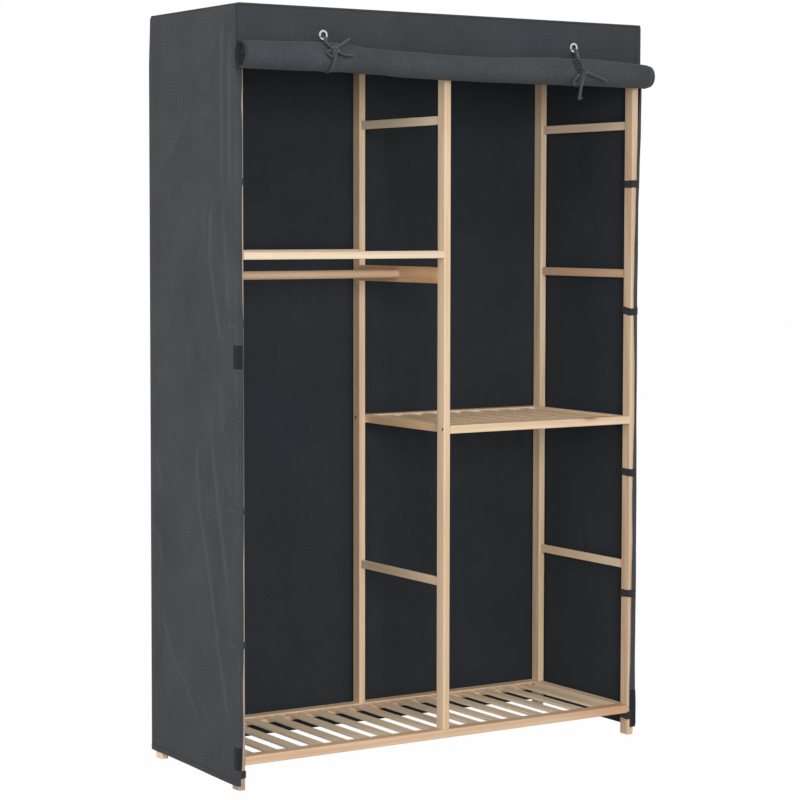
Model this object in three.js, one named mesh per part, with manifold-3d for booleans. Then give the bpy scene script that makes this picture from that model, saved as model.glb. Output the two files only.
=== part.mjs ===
// Portable fabric wardrobe: a pine frame of six posts with a slatted tray, one slatted shelf and a
// hanging rail, under a cloth cover whose front is rolled up and tied.
// Millimetres, +Z up, the front faces -Y. The origin is on the floor under the middle of the object.
import * as THREE from "three";
import { mergeVertices } from "three/addons/utils/BufferGeometryUtils.js";
import Module from "manifold-3d";

const wasm = await Module();
wasm.setup();

// Overall sizes of the frame
const frameWidth = 1100;
const frameDepth = 400;
const postTop = 1714;

// Heights up the posts of what they carry, as shares of the posts' length
const lowerRungShare = 0.2375;
const shelfShare = 0.4452;
const boardShare = 0.6467;
const rightMiddleRungShare = 0.6511;
const upperRailShare = 0.6809;
const upperRungShare = 0.8588;
const strapShares = [0.197, 0.3705, 0.599, 0.777];

// Fits
const jointGap = 0.3;
const cutOverrun = 5;

// Wood stock
const postWidth = 17;
const postDepth = 30;
const woodRadius = 2;
const railDepth = postDepth;
const slatWidth = 29;
const slatThickness = 6;
const slatRadius = 1.2;
const grooveDepth = 10;

// Bottom tray
const trayRailBottom = 54;
const trayRailHeight = 19.5;
const slatDrop = 3.7;
const traySlatCount = 17;
const traySlatLeftGap = 3.4;
const traySlatRightGap = 22.6;
const endRailWidth = 26;
const endRailInset = 5;
const endRailHeight = 19;

// Shelf of the right bay
const shelfRailHeight = 19;
const shelfSlatCount = 8;
const shelfSideRailWidth = 17;
const shelfSlatBed = 5;
const shelfScrewRadius = 2.2;
const shelfScrewInset = 7;

// Rungs and boards of the end and middle frames
const rungThickness = 8;
const rungHeight = 20;
const boardThickness = 12;
const boardHeight = 37.5;

// Left bay
const upperRailHeight = 17;
const hangingRailRadius = 9.75;
const hangingRailRise = 19.5;
const hangingRailRounding = 0.8;
const tenonRadius = 5;
const tenonClearance = 0.3;

// Cloth cover
const clothThickness = 2.2;
const hemReturn = 11;
const leftFrontHem = 10;
const leftBackHem = 18;
const rightFrontHem = 18.6;
const rightBackHem = 18;
const backHem = 18;
const pipingRadius = 3;
const pipingSides = 8;
const topCornerRadius = 7;
const bandHeight = 80;

// Folds of the cloth
const sideFoldReach = 7.5;
const foldHalfWidth = 16;
const backBulge = 7.5;

// Rolled front
const rollRadius = 30;
const rollSqueeze = 2;
const rollBore = 13;
const rollSag = 11;
const rollLeftOverhang = 10;
const rollRightOverhang = 2;

// Eyelets and laces
const eyeletRadius = 11;
const eyeletHole = 6.4;
const eyeletFlange = 1.4;
const eyeletBarrelWall = 1.2;
const eyeletRise = 25;
const leftEyeletX = -335;
const rightEyeletX = 351;
const laceRadius = 2.6;
const laceSteps = 56;

// Straps round the front right post
const strapHeight = 19.5;
const strapThickness = 1.2;

const wood = { color: 0xe3c49f, roughness: 0.62, metalness: 0 };
const darkWood = { color: 0xc39a6e, roughness: 0.62, metalness: 0 };
const cloth = { color: 0x4a4d53, roughness: 0.95, metalness: 0 };
const darkCloth = { color: 0x2c2d31, roughness: 0.95, metalness: 0 };
const nickel = { color: 0xb9b9b6, roughness: 0.3, metalness: 1 };
const lace = { color: 0x3c3e43, roughness: 0.9, metalness: 0 };
const webbing = { color: 0x24252a, roughness: 0.9, metalness: 0 };

// Places that several pieces share
const halfWidth = frameWidth / 2;
const halfDepth = frameDepth / 2;
const lowerRungBottom = lowerRungShare * postTop;
const shelfRailBottom = shelfShare * postTop;
const boardBottom = boardShare * postTop;
const rightMiddleRungBottom = rightMiddleRungShare * postTop;
const upperRailBottom = upperRailShare * postTop;
const upperRungBottom = upperRungShare * postTop;
const hangingRailZ = boardBottom + hangingRailRise;
const trayRailTop = trayRailBottom + trayRailHeight;
const shelfRailTop = shelfRailBottom + shelfRailHeight;
const innerHalfWidth = halfWidth - postWidth;
const innerHalfDepth = halfDepth - postDepth;
const topRailBottom = postTop - postWidth;
const clothInsideX = halfWidth + jointGap;
const clothOutsideX = clothInsideX + clothThickness;
const clothInsideY = halfDepth + jointGap;
const clothOutsideY = clothInsideY + clothThickness;
const clothTop = postTop;
const bandBottom = clothTop - bandHeight;
const eyeletZ = bandBottom + eyeletRise;
const rollEndHeight = bandBottom - rollRadius;
const coverTopBottom = postTop + jointGap;
const bandBackY = -clothOutsideY - jointGap;
const bandFrontY = bandBackY - clothThickness;
const rollY = bandFrontY - jointGap - rollRadius;
const frontmostY = rollY - rollRadius;
const rearmostY = clothOutsideY + backBulge;

const model = new THREE.Group();
model.position.y = -(frontmostY + rearmostY) / 2;

function add(name, geometry, finish, x = 0, y = 0, z = 0) {
  const mesh = new THREE.Mesh(geometry, new THREE.MeshStandardMaterial(finish));
  mesh.name = name;
  mesh.position.set(x, y, z);
  model.add(mesh);
  return mesh;
}

// Solids for the cuts and joins

function toSolid(geometry) {
  const bare = new THREE.BufferGeometry();
  bare.setAttribute("position", geometry.getAttribute("position").clone());
  if (geometry.index) bare.setIndex(geometry.index.clone());
  const merged = mergeVertices(bare);
  return new wasm.Manifold(
    new wasm.Mesh({
      numProp: 3,
      vertProperties: merged.attributes.position.array,
      triVerts: new Uint32Array(merged.index.array),
    }),
  );
}

function fromSolid(solid) {
  const { vertProperties, triVerts } = solid.getMesh();
  const geometry = new THREE.BufferGeometry();
  geometry.setAttribute("position", new THREE.BufferAttribute(vertProperties, 3));
  geometry.setIndex(new THREE.BufferAttribute(triVerts, 1));
  geometry.computeVertexNormals();
  return geometry;
}

const subtract = (geometry, ...cuts) =>
  fromSolid(cuts.reduce((body, cut) => body.subtract(toSolid(cut)), toSolid(geometry)));

const join = (...geometries) =>
  fromSolid(geometries.slice(1).reduce((body, other) => body.add(toSolid(other)), toSolid(geometries[0])));

// Bars of wood

function roundedRectangle(width, height, radius) {
  const shape = new THREE.Shape();
  const x = width / 2 - radius;
  const y = height / 2 - radius;
  shape.absarc(x, y, radius, 0, Math.PI / 2);
  shape.absarc(-x, y, radius, Math.PI / 2, Math.PI);
  shape.absarc(-x, -y, radius, Math.PI, Math.PI * 1.5);
  shape.absarc(x, -y, radius, Math.PI * 1.5, Math.PI * 2);
  shape.closePath();
  return shape;
}

const extrude = (shape, length) =>
  new THREE.ExtrudeGeometry(shape, { depth: length, bevelEnabled: false, curveSegments: 1 });

// A bar standing up: width along X, depth along Y, from bottom to top.
function uprightBar(width, depth, bottom, top) {
  const bar = extrude(roundedRectangle(width, depth, woodRadius), top - bottom);
  return bar.translate(0, 0, bottom);
}

// A bar lying along X, given its section across Y and Z, centred on the section's own origin.
function barAlongX(section, left, right) {
  const bar = extrude(section, right - left);
  bar.rotateX(Math.PI / 2);
  bar.rotateZ(Math.PI / 2);
  return bar.translate(left, 0, 0);
}

// A bar lying along Y, given its section across X and Z.
function barAlongY(section, front, back) {
  const bar = extrude(section, back - front);
  bar.rotateX(Math.PI / 2);
  return bar.translate(0, back, 0);
}

function cylinderAlongX(radius, length, sides) {
  return new THREE.CylinderGeometry(radius, radius, length, sides).rotateZ(Math.PI / 2);
}

// Posts. The middle two stand on the tray's rails and end under the top rails.

const postY = halfDepth - postDepth / 2;
const outerPostX = halfWidth - postWidth / 2;
for (const [side, x] of [["left", -outerPostX], ["right", outerPostX]]) {
  for (const [end, y] of [["front", -postY], ["back", postY]]) {
    add(`${end}_${side}_post`, uprightBar(postWidth, postDepth, 0, postTop), wood, x, y);
  }
}

const middlePostBottom = trayRailTop + jointGap;
const middlePostTop = topRailBottom - jointGap;
const shelfScrewZ = shelfRailBottom + shelfRailHeight / 2;
const shelfScrewY = halfDepth - shelfScrewInset;
const screwHole = cylinderAlongX(shelfScrewRadius, postWidth + cutOverrun, 10);
for (const [end, y, outward] of [["front", -postY, -1], ["back", postY, 1]]) {
  const hole = screwHole.clone().translate(0, outward * shelfScrewY - y, shelfScrewZ);
  const post = subtract(uprightBar(postWidth, postDepth, middlePostBottom, middlePostTop), hole);
  add(`${end}_middle_post`, post, wood, 0, y);
}

// Tray: two grooved rails, the end rails between the posts and the slats in the grooves.

const traySlatTop = trayRailTop - slatDrop;
const traySlatMiddle = traySlatTop - slatThickness / 2;
const railLeft = -innerHalfWidth + jointGap;
const railRight = innerHalfWidth - jointGap;
const grooveHalfHeight = slatThickness / 2 + jointGap;

// A rail's section across Y and Z with a groove in the face towards +Y, the rail's middle at 0,0.
function groovedSection(height, grooveMiddle) {
  const outer = railDepth / 2;
  const half = height / 2;
  const r = woodRadius;
  const shape = new THREE.Shape();
  shape.absarc(-outer + r, -half + r, r, Math.PI, Math.PI * 1.5);
  shape.lineTo(outer, -half);
  shape.lineTo(outer, grooveMiddle - grooveHalfHeight);
  shape.lineTo(outer - grooveDepth, grooveMiddle - grooveHalfHeight);
  shape.lineTo(outer - grooveDepth, grooveMiddle + grooveHalfHeight);
  shape.lineTo(outer, grooveMiddle + grooveHalfHeight);
  shape.lineTo(outer, half);
  shape.absarc(-outer + r, half - r, r, Math.PI / 2, Math.PI);
  shape.closePath();
  return shape;
}

const trayRailMiddle = trayRailBottom + trayRailHeight / 2;
const traySection = groovedSection(trayRailHeight, traySlatMiddle - trayRailMiddle);
add("tray_front_rail", barAlongX(traySection, railLeft, railRight), wood, 0, -postY, trayRailMiddle);
const backTrayRail = add("tray_back_rail", barAlongX(traySection, railLeft, railRight), wood);
backTrayRail.position.set(0, postY, trayRailMiddle);
backTrayRail.rotation.z = Math.PI;

const endRailX = halfWidth - endRailInset - endRailWidth / 2;
const endRailSection = roundedRectangle(endRailWidth, endRailHeight, woodRadius);
const betweenFront = -innerHalfDepth + jointGap;
const betweenBack = innerHalfDepth - jointGap;
for (const [side, x] of [["left", -endRailX], ["right", endRailX]]) {
  const rail = barAlongY(endRailSection, betweenFront, betweenBack);
  add(`tray_${side}_end_rail`, rail, wood, x, 0, trayRailMiddle);
}

const traySlatReach = innerHalfDepth + grooveDepth - jointGap;
const firstSlatX = -endRailX + endRailWidth / 2 + traySlatLeftGap + slatWidth / 2;
const lastSlatX = endRailX - endRailWidth / 2 - traySlatRightGap - slatWidth / 2;
const traySlatPitch = (lastSlatX - firstSlatX) / (traySlatCount - 1);
const slatSection = roundedRectangle(slatWidth, slatThickness, slatRadius);
for (let i = 0; i < traySlatCount; i++) {
  const slat = barAlongY(slatSection, -traySlatReach, traySlatReach);
  const number = String(i + 1).padStart(2, "0");
  add(`tray_slat_${number}`, slat, wood, firstSlatX + i * traySlatPitch, 0, traySlatMiddle);
}

// Shelf of the right bay: its rails and slats are glued into one panel.

const shelfLeft = postWidth / 2 + jointGap;
const shelfRight = innerHalfWidth - jointGap;
const shelfMiddle = shelfRailBottom + shelfRailHeight / 2;
const shelfSlatMiddle = shelfRailTop - slatDrop - slatThickness / 2;
const shelfRailSection = roundedRectangle(railDepth, shelfRailHeight, woodRadius);
const shelfSideSection = roundedRectangle(shelfSideRailWidth, shelfRailHeight, woodRadius);
const shelfSlatReach = innerHalfDepth + shelfSlatBed;
const shelfPieces = [-postY, postY].map((y) =>
  barAlongX(shelfRailSection, shelfLeft, shelfRight).translate(0, y, shelfMiddle),
);
for (const x of [shelfLeft + shelfSideRailWidth / 2, shelfRight - shelfSideRailWidth / 2]) {
  shelfPieces.push(barAlongY(shelfSideSection, -shelfSlatReach, shelfSlatReach).translate(x, 0, shelfMiddle));
}
const shelfClear = shelfRight - shelfLeft - 2 * shelfSideRailWidth;
const shelfSlatGap = (shelfClear - shelfSlatCount * slatWidth) / (shelfSlatCount + 1);
for (let i = 0; i < shelfSlatCount; i++) {
  const left = shelfLeft + shelfSideRailWidth + shelfSlatGap + i * (slatWidth + shelfSlatGap);
  const slat = barAlongY(slatSection, -shelfSlatReach, shelfSlatReach);
  shelfPieces.push(slat.translate(left + slatWidth / 2, 0, shelfSlatMiddle));
}
add("shelf_panel", join(...shelfPieces), wood);

// Rungs and boards between each pair of posts

const rungSection = roundedRectangle(rungThickness, rungHeight, woodRadius);
const rungs = [
  ["left_upper_rung", -outerPostX, upperRungBottom],
  ["left_lower_rung", -outerPostX, lowerRungBottom],
  ["middle_upper_rung", 0, upperRungBottom],
  ["middle_lower_rung", 0, lowerRungBottom],
  ["right_upper_rung", outerPostX, upperRungBottom],
  ["right_middle_rung", outerPostX, rightMiddleRungBottom],
  ["right_lower_rung", outerPostX, lowerRungBottom],
];
for (const [name, x, bottom] of rungs) {
  add(name, barAlongY(rungSection, betweenFront, betweenBack), wood, x, 0, bottom + rungHeight / 2);
}

const boardMiddle = boardBottom + boardHeight / 2;
const boardSection = roundedRectangle(boardThickness, boardHeight, woodRadius);
const middleBoardX = -postWidth / 2 + boardThickness / 2;
const leftBoardX = -innerHalfWidth - boardThickness / 2;
const tenonHole = cylinderAlongX(tenonRadius + tenonClearance, boardThickness + cutOverrun, 16);
for (const [name, x] of [["left_rail_board", leftBoardX], ["middle_rail_board", middleBoardX]]) {
  const hole = tenonHole.clone().translate(0, 0, hangingRailZ - boardMiddle);
  const board = subtract(barAlongY(boardSection, betweenFront, betweenBack), hole);
  add(name, board, darkWood, x, 0, boardMiddle);
}

// Hanging rail: a round rod whose tenons sit in the two boards.

const rodHalf = (middleBoardX - boardThickness / 2 - (leftBoardX + boardThickness / 2)) / 2 - jointGap;
const rodX = (middleBoardX + leftBoardX) / 2;
const tenonEnd = rodHalf + jointGap + boardThickness;
const rodProfile = [
  [0, -tenonEnd],
  [tenonRadius, -tenonEnd],
  [tenonRadius, -rodHalf],
  [hangingRailRadius - hangingRailRounding, -rodHalf],
  [hangingRailRadius, -rodHalf + hangingRailRounding],
  [hangingRailRadius, rodHalf - hangingRailRounding],
  [hangingRailRadius - hangingRailRounding, rodHalf],
  [tenonRadius, rodHalf],
  [tenonRadius, tenonEnd],
  [0, tenonEnd],
].map(([r, along]) => new THREE.Vector2(r, along));
const rod = new THREE.LatheGeometry(rodProfile, 24).rotateZ(-Math.PI / 2);
add("hanging_rail", rod, wood, rodX, 0, hangingRailZ);

// Rails across the heads of the frames

const upperSection = roundedRectangle(railDepth, upperRailHeight, woodRadius);
const upperLeft = -innerHalfWidth + jointGap;
const upperRight = -postWidth / 2 - jointGap;
const upperMiddle = upperRailBottom + upperRailHeight / 2;
const topSection = roundedRectangle(railDepth, postWidth, woodRadius);
const topMiddle = topRailBottom + postWidth / 2;
for (const [end, y] of [["front", -postY], ["back", postY]]) {
  add(`upper_${end}_rail`, barAlongX(upperSection, upperLeft, upperRight), wood, 0, y, upperMiddle);
  add(`top_${end}_rail`, barAlongX(topSection, railLeft, railRight), wood, 0, y, topMiddle);
}

// Cloth and other soft skins, as closed grids

// Turns every face round if the closed surface faces inwards.
function closedOutward(positions, faces) {
  let volume = 0;
  const at = (i) => new THREE.Vector3(...positions.slice(i * 3, i * 3 + 3));
  for (let i = 0; i < faces.length; i += 3) {
    volume += at(faces[i]).dot(at(faces[i + 1]).cross(at(faces[i + 2])));
  }
  const turned = volume < 0 ? faces.toReversed() : faces;
  const geometry = new THREE.BufferGeometry();
  geometry.setAttribute("position", new THREE.Float32BufferAttribute(positions, 3));
  geometry.setIndex(turned);
  geometry.computeVertexNormals();
  return geometry;
}

// A sheet of even thickness. place(u, v) gives the inner point and the way out of it.
function sheet(columns, rows, thickness, place) {
  const positions = [];
  const faces = [];
  const across = columns + 1;
  for (let side = 0; side < 2; side++) {
    for (let j = 0; j <= rows; j++) {
      for (let i = 0; i <= columns; i++) {
        const { point, out } = place(i / columns, j / rows);
        positions.push(...point.addScaledVector(out, side * thickness).toArray());
      }
    }
  }
  const sheetPoints = across * (rows + 1);
  const quad = (a, b, c, d) => faces.push(a, b, c, a, c, d);
  for (let j = 0; j < rows; j++) {
    for (let i = 0; i < columns; i++) {
      const a = j * across + i;
      quad(a, a + across, a + across + 1, a + 1);
      quad(a + sheetPoints, a + 1 + sheetPoints, a + across + 1 + sheetPoints, a + across + sheetPoints);
    }
  }
  const border = [];
  for (let i = 0; i < columns; i++) border.push(i);
  for (let j = 0; j < rows; j++) border.push(j * across + columns);
  for (let i = columns; i > 0; i--) border.push(rows * across + i);
  for (let j = rows; j > 0; j--) border.push(j * across);
  border.forEach((a, i) => {
    const b = border[(i + 1) % border.length];
    quad(a, b, b + sheetPoints, a + sheetPoints);
  });
  return closedOutward(positions, faces);
}

// A tube that closes on itself through its rings, each with the same count of points.
function closedLoop(rings) {
  const count = rings[0].length;
  const positions = rings.flat().flatMap((p) => p.toArray());
  const faces = [];
  for (let r = 0; r < rings.length; r++) {
    const next = ((r + 1) % rings.length) * count;
    for (let i = 0; i < count; i++) {
      const a = r * count + i;
      const b = r * count + ((i + 1) % count);
      const c = next + ((i + 1) % count);
      faces.push(a, b, c, a, c, next + i);
    }
  }
  return closedOutward(positions, faces);
}

// Cover top: a flat cloth with a round piping sewn along its edge.

const topFront = bandFrontY;
const topBack = clothOutsideY;
const topShape = roundedRectangle(2 * clothOutsideX, topBack - topFront, topCornerRadius);
const topPlate = extrude(topShape, clothThickness);
const pipingInset = pipingRadius / 2;
const pipingLine = roundedRectangle(
  2 * (clothOutsideX - pipingInset),
  topBack - topFront - 2 * pipingInset,
  topCornerRadius - pipingInset,
).getPoints(4);
const pipingRings = pipingLine.slice(0, -1).map((p, i, line) => {
  const before = line[(i + line.length - 1) % line.length];
  const after = line[(i + 1) % line.length];
  const along = after.clone().sub(before).normalize();
  return Array.from({ length: pipingSides }, (_, k) => {
    const angle = ((k + 0.5) / pipingSides) * Math.PI * 2;
    const out = Math.cos(angle) * pipingRadius;
    const up = pipingRadius + Math.sin(angle) * pipingRadius;
    return new THREE.Vector3(p.x + along.y * out, p.y - along.x * out, up);
  });
});
const coverTop = join(topPlate, closedLoop(pipingRings));
add("cover_top", coverTop, cloth, 0, (topFront + topBack) / 2, coverTopBottom);

// Side cloths. Each wraps round the front posts' corners and ends in a hem on their front faces.
// A fold is a ridge along a line of places, given as shares of the cloth's depth and height.

const leftFoldShares = [
  { reach: 0.55, line: [[0.096, 0.983], [0.108, 0.668]] },
  { reach: 0.45, line: [[0.035, 0.982], [0.04, 0.668]] },
  { reach: 0.8, line: [[0.252, 0.782], [0.245, 0.68], [0.156, 0.596], [0.135, 0.553]] },
  { reach: 0.6, line: [[0.096, 0.68], [0.035, 0.597]] },
  { reach: 1, line: [[0.489, 0.481], [0.4, 0.327], [0.274, 0.252], [0.172, 0.164], [0.06, 0.09]] },
  { reach: 0.9, line: [[0.276, 0.484], [0.166, 0.333], [0.05, 0.234]] },
  { reach: 0.6, line: [[0.961, 0.424], [0.887, 0.388]] },
  { reach: 0.6, line: [[0.954, 0.319], [0.868, 0.275]] },
  { reach: 0.8, line: [[0.774, 0.164], [0.388, 0.074]] },
  { reach: 0.5, line: [[0.567, 0.856], [0.864, 0.798]] },
];
const rightFoldShares = [
  { reach: 1, line: [[0.28, 0.97], [0.36, 0.86]] },
  { reach: 0.5, line: [[0.5, 0.5], [0.3, 0.36]] },
];

// Columns of the side cloths, closer where the folds are, as shares of the depth
const sideColumnShares = [
  0.015, 0.035, 0.055, 0.08, 0.105, 0.135, 0.17, 0.21, 0.25, 0.3, 0.36, 0.43, 0.51, 0.62, 0.76, 0.88, 1,
];
const sideRows = 27;

function distanceToLine(y, z, line) {
  let least = Infinity;
  for (let i = 0; i + 1 < line.length; i++) {
    const a = new THREE.Vector3(line[i][0] * frameDepth, line[i][1] * clothTop, 0);
    const b = new THREE.Vector3(line[i + 1][0] * frameDepth, line[i + 1][1] * clothTop, 0);
    const p = new THREE.Vector3(y + halfDepth, z, 0);
    const near = new THREE.Line3(a, b).closestPointToPoint(p, true, new THREE.Vector3());
    least = Math.min(least, near.distanceTo(p));
  }
  return least;
}

function foldReach(y, z, folds) {
  const parts = folds.map((fold) => {
    const d = distanceToLine(y, z, fold.line) / foldHalfWidth;
    return fold.reach * Math.exp(-d * d);
  });
  return sideFoldReach * Math.max(...parts);
}

// How far the back cloth stands out behind the posts at a height
const bulgeAt = (z) => backBulge * (1 - z / clothTop);

function sideCloth(folds, frontHem, backHemHeight) {
  const corner = woodRadius + jointGap;
  const path = [{ x: halfWidth - hemReturn, y: -clothInsideY, out: [0, -1] }];
  for (const angle of [0, Math.PI / 4, Math.PI / 2]) {
    path.push({
      x: clothInsideX - corner + corner * Math.sin(angle),
      y: -clothInsideY + corner - corner * Math.cos(angle),
      out: [Math.sin(angle), -Math.cos(angle)],
    });
  }
  for (const share of sideColumnShares) {
    path.push({ x: clothInsideX, y: -halfDepth + share * frameDepth, out: [1, 0], folded: true });
  }
  return sheet(path.length - 1, sideRows, clothThickness, (u, v) => {
    const place = path[Math.round(u * (path.length - 1))];
    const depthShare = (place.y + halfDepth) / frameDepth;
    const bottom = frontHem + (backHemHeight - frontHem) * depthShare;
    const z = bottom + v * (clothTop - bottom);
    const fold = place.folded && v < 1 ? foldReach(place.y, z, folds) : 0;
    const back = depthShare >= 1 ? bulgeAt(z) : 0;
    return {
      point: new THREE.Vector3(place.x + fold, place.y + back, z),
      out: new THREE.Vector3(place.out[0], place.out[1], 0),
    };
  });
}

const rightSide = sideCloth(rightFoldShares, rightFrontHem, rightBackHem);
add("cover_right_side", rightSide, cloth);
const leftSide = sideCloth(leftFoldShares, leftFrontHem, leftBackHem);
leftSide.scale(-1, 1, 1);
leftSide.setIndex([...leftSide.index.array].toReversed());
leftSide.computeVertexNormals();
add("cover_left_side", leftSide, cloth);

// Back cloth, standing out a little more towards the floor

const backCloth = sheet(6, 8, clothThickness, (u, v) => {
  const z = backHem + v * (clothTop - backHem);
  return {
    point: new THREE.Vector3((2 * u - 1) * clothOutsideX, clothInsideY + bulgeAt(z), z),
    out: new THREE.Vector3(0, 1, 0),
  };
});
add("cover_back", backCloth, darkCloth);

// Front cloth: a flat band with two eyelets, the cloth behind the roll and the roll itself.

const bandShape = new THREE.Shape();
bandShape.moveTo(-clothOutsideX, 0);
bandShape.lineTo(clothOutsideX, 0);
bandShape.lineTo(clothOutsideX, bandHeight);
bandShape.lineTo(-clothOutsideX, bandHeight);
bandShape.closePath();
const barrelRadius = eyeletHole + eyeletBarrelWall;
for (const x of [leftEyeletX, rightEyeletX]) {
  const hole = new THREE.Path();
  hole.absarc(x, eyeletZ - bandBottom, barrelRadius + jointGap, 0, Math.PI * 2, true);
  bandShape.holes.push(hole);
}
const band = new THREE.ExtrudeGeometry(bandShape, {
  depth: clothThickness,
  bevelEnabled: false,
  curveSegments: 8,
});
band.rotateX(Math.PI / 2);
add("cover_front_band", band, cloth, 0, bandBackY, bandBottom);

const bandMiddleY = (bandFrontY + bandBackY) / 2;
const flangeInner = clothThickness / 2 + jointGap;
const flangeOuter = flangeInner + eyeletFlange;
const eyeletProfile = [
  [eyeletHole, -flangeOuter],
  [eyeletRadius, -flangeOuter],
  [eyeletRadius, -flangeInner],
  [barrelRadius, -flangeInner],
  [barrelRadius, flangeInner],
  [eyeletRadius, flangeInner],
  [eyeletRadius, flangeOuter],
  [eyeletHole, flangeOuter],
  [eyeletHole, -flangeOuter],
].map(([r, along]) => new THREE.Vector2(r, along));
const eyelet = new THREE.LatheGeometry(eyeletProfile, 24);
add("left_eyelet", eyelet, nickel, leftEyeletX, bandMiddleY, eyeletZ);
add("right_eyelet", eyelet.clone(), nickel, rightEyeletX, bandMiddleY, eyeletZ);

const rollLeft = -halfWidth - rollLeftOverhang;
const rollRight = halfWidth + rollRightOverhang;
const curtainTop = bandBottom - jointGap;
const curtainBottom = rollEndHeight - rollRadius;
const curtain = new THREE.BoxGeometry(2 * clothOutsideX, clothThickness, curtainTop - curtainBottom);
add("door_curtain", curtain, cloth, 0, bandMiddleY, (curtainTop + curtainBottom) / 2);

// Roll: it hangs lower between its two ties and past the right one, and is drawn in at each tie.
// Each place is a share of the roll's length and how far it has sunk, as a share of the sag.
const rollSagShares = [[0, 0], [0.19, 0], [0.45, 1], [0.79, 0.36], [1, 1.08]];
const tieShares = [0.19, 0.79];
const tieWidthShare = 0.03;
const rollStations = 26;
const rollSides = 16;

function sunkAt(share) {
  const next = Math.max(1, rollSagShares.findIndex(([along]) => along >= share));
  const [startShare, startSunk] = rollSagShares[next - 1];
  const [endShare, endSunk] = rollSagShares[next];
  const ease = THREE.MathUtils.smoothstep(share, startShare, endShare);
  return THREE.MathUtils.lerp(startSunk, endSunk, ease);
}

function rollAt(share) {
  const sunk = sunkAt(share);
  const drawn = Math.max(...tieShares.map((tie) => Math.exp(-(((share - tie) / tieWidthShare) ** 2))));
  const radius = rollRadius - rollSqueeze * Math.max(drawn, Math.min(1, sunk));
  const x = rollLeft + share * (rollRight - rollLeft);
  return { x, z: rollEndHeight - sunk * rollSag, radius };
}

function rollRing(share, radiusOf) {
  const { x, z, radius } = rollAt(share);
  const y = bandFrontY - jointGap - radius;
  return Array.from({ length: rollSides }, (_, k) => {
    const angle = (k / rollSides) * Math.PI * 2;
    const r = radiusOf(radius);
    return new THREE.Vector3(x, y + Math.cos(angle) * r, z + Math.sin(angle) * r);
  });
}

const stationShares = Array.from({ length: rollStations }, (_, i) => i / (rollStations - 1));
const rollRings = [
  ...stationShares.map((share) => rollRing(share, (radius) => radius)),
  ...stationShares.toReversed().map((share) => rollRing(share, () => rollBore)),
];
add("door_roll", closedLoop(rollRings), cloth);

// Laces. Each runs from its first tail through the bow, over the roll, through its eyelet, down
// behind the cloth, under the roll and up to the bow again. Places are in the frame's own axes.

const leftLacePlaces = [
  [-299, -266, 1608], [-312, -269, 1611], [-329, -273, 1613], [-344, -276.5, 1610], [-354, -275, 1602],
  [-362, -272.5, 1600], [-366, -270, 1607], [-359, -270, 1617], [-349, -264, 1626], [-343, -252, 1635],
  [-339, -238, 1640], [-336, -222, 1647], [-335, -212, 1655.2], [-335, -204, 1656.4], [-335, -197, 1654.2],
  [-335, -194, 1640], [-336, -194, 1600], [-337, -195, 1577], [-339, -204, 1567], [-342, -220, 1566],
  [-346, -240, 1568], [-349, -257, 1577], [-350, -267, 1590], [-348, -269.5, 1604], [-341, -267, 1618],
  [-332, -258, 1632], [-320, -245, 1641], [-306, -233, 1645],
];
const rightLacePlaces = [
  [325, -268, 1535], [326, -270, 1556], [327, -272, 1578], [326, -274, 1594], [327, -270, 1608],
  [329, -263, 1620], [332, -250, 1631], [338, -234, 1636], [345, -221, 1647], [350.5, -212, 1655.4],
  [351, -204, 1656.6], [351, -197, 1654.4], [351, -194, 1640], [349, -194, 1600], [346, -195, 1575],
  [343, -204, 1563], [340, -220, 1560], [337, -240, 1562], [335, -257, 1571], [334, -266, 1586],
  [331, -270, 1599], [318, -269, 1594], [309, -268, 1578], [311, -268, 1563], [320, -266.5, 1567],
  [334, -264.5, 1572.5], [338, -270, 1584], [352, -270, 1590], [376, -267, 1585], [402, -264, 1580],
];
const laceSides = 8;
const laceSection = new THREE.Shape();
laceSection.absarc(0, 0, laceRadius, 0, Math.PI * 2);
for (const [name, places] of [["left_tie_lace", leftLacePlaces], ["right_tie_lace", rightLacePlaces]]) {
  const line = new THREE.CatmullRomCurve3(places.map((p) => new THREE.Vector3(...p)));
  const tube = new THREE.ExtrudeGeometry(laceSection, {
    steps: laceSteps,
    extrudePath: line,
    curveSegments: laceSides / 2,
    bevelEnabled: false,
  });
  add(name, tube, lace);
}

// Straps round the front right post, from the hem's edge to the side cloth behind the post

const strapInside = innerHalfWidth - jointGap;
const strapOutside = strapInside - strapThickness;
const strapHemEnd = halfWidth - hemReturn - jointGap;
const strapBackY = -innerHalfDepth + jointGap;
const strapShape = new THREE.Shape();
strapShape.moveTo(strapHemEnd, -clothInsideY);
strapShape.lineTo(strapHemEnd, -clothInsideY - strapThickness);
strapShape.lineTo(strapOutside, -clothInsideY - strapThickness);
strapShape.lineTo(strapOutside, strapBackY + strapThickness);
strapShape.lineTo(halfWidth, strapBackY + strapThickness);
strapShape.lineTo(halfWidth, strapBackY);
strapShape.lineTo(strapInside, strapBackY);
strapShape.lineTo(strapInside, -clothInsideY);
strapShape.closePath();
strapShares.forEach((share, i) => {
  add(`right_strap_${i + 1}`, extrude(strapShape, strapHeight), webbing, 0, 0, share * postTop);
});

export default model;
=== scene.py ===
"""Looks of the portable fabric wardrobe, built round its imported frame. Metres, +Z up, front faces -Y."""
import math

import bpy
from mathutils import Matrix, Vector, noise


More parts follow.
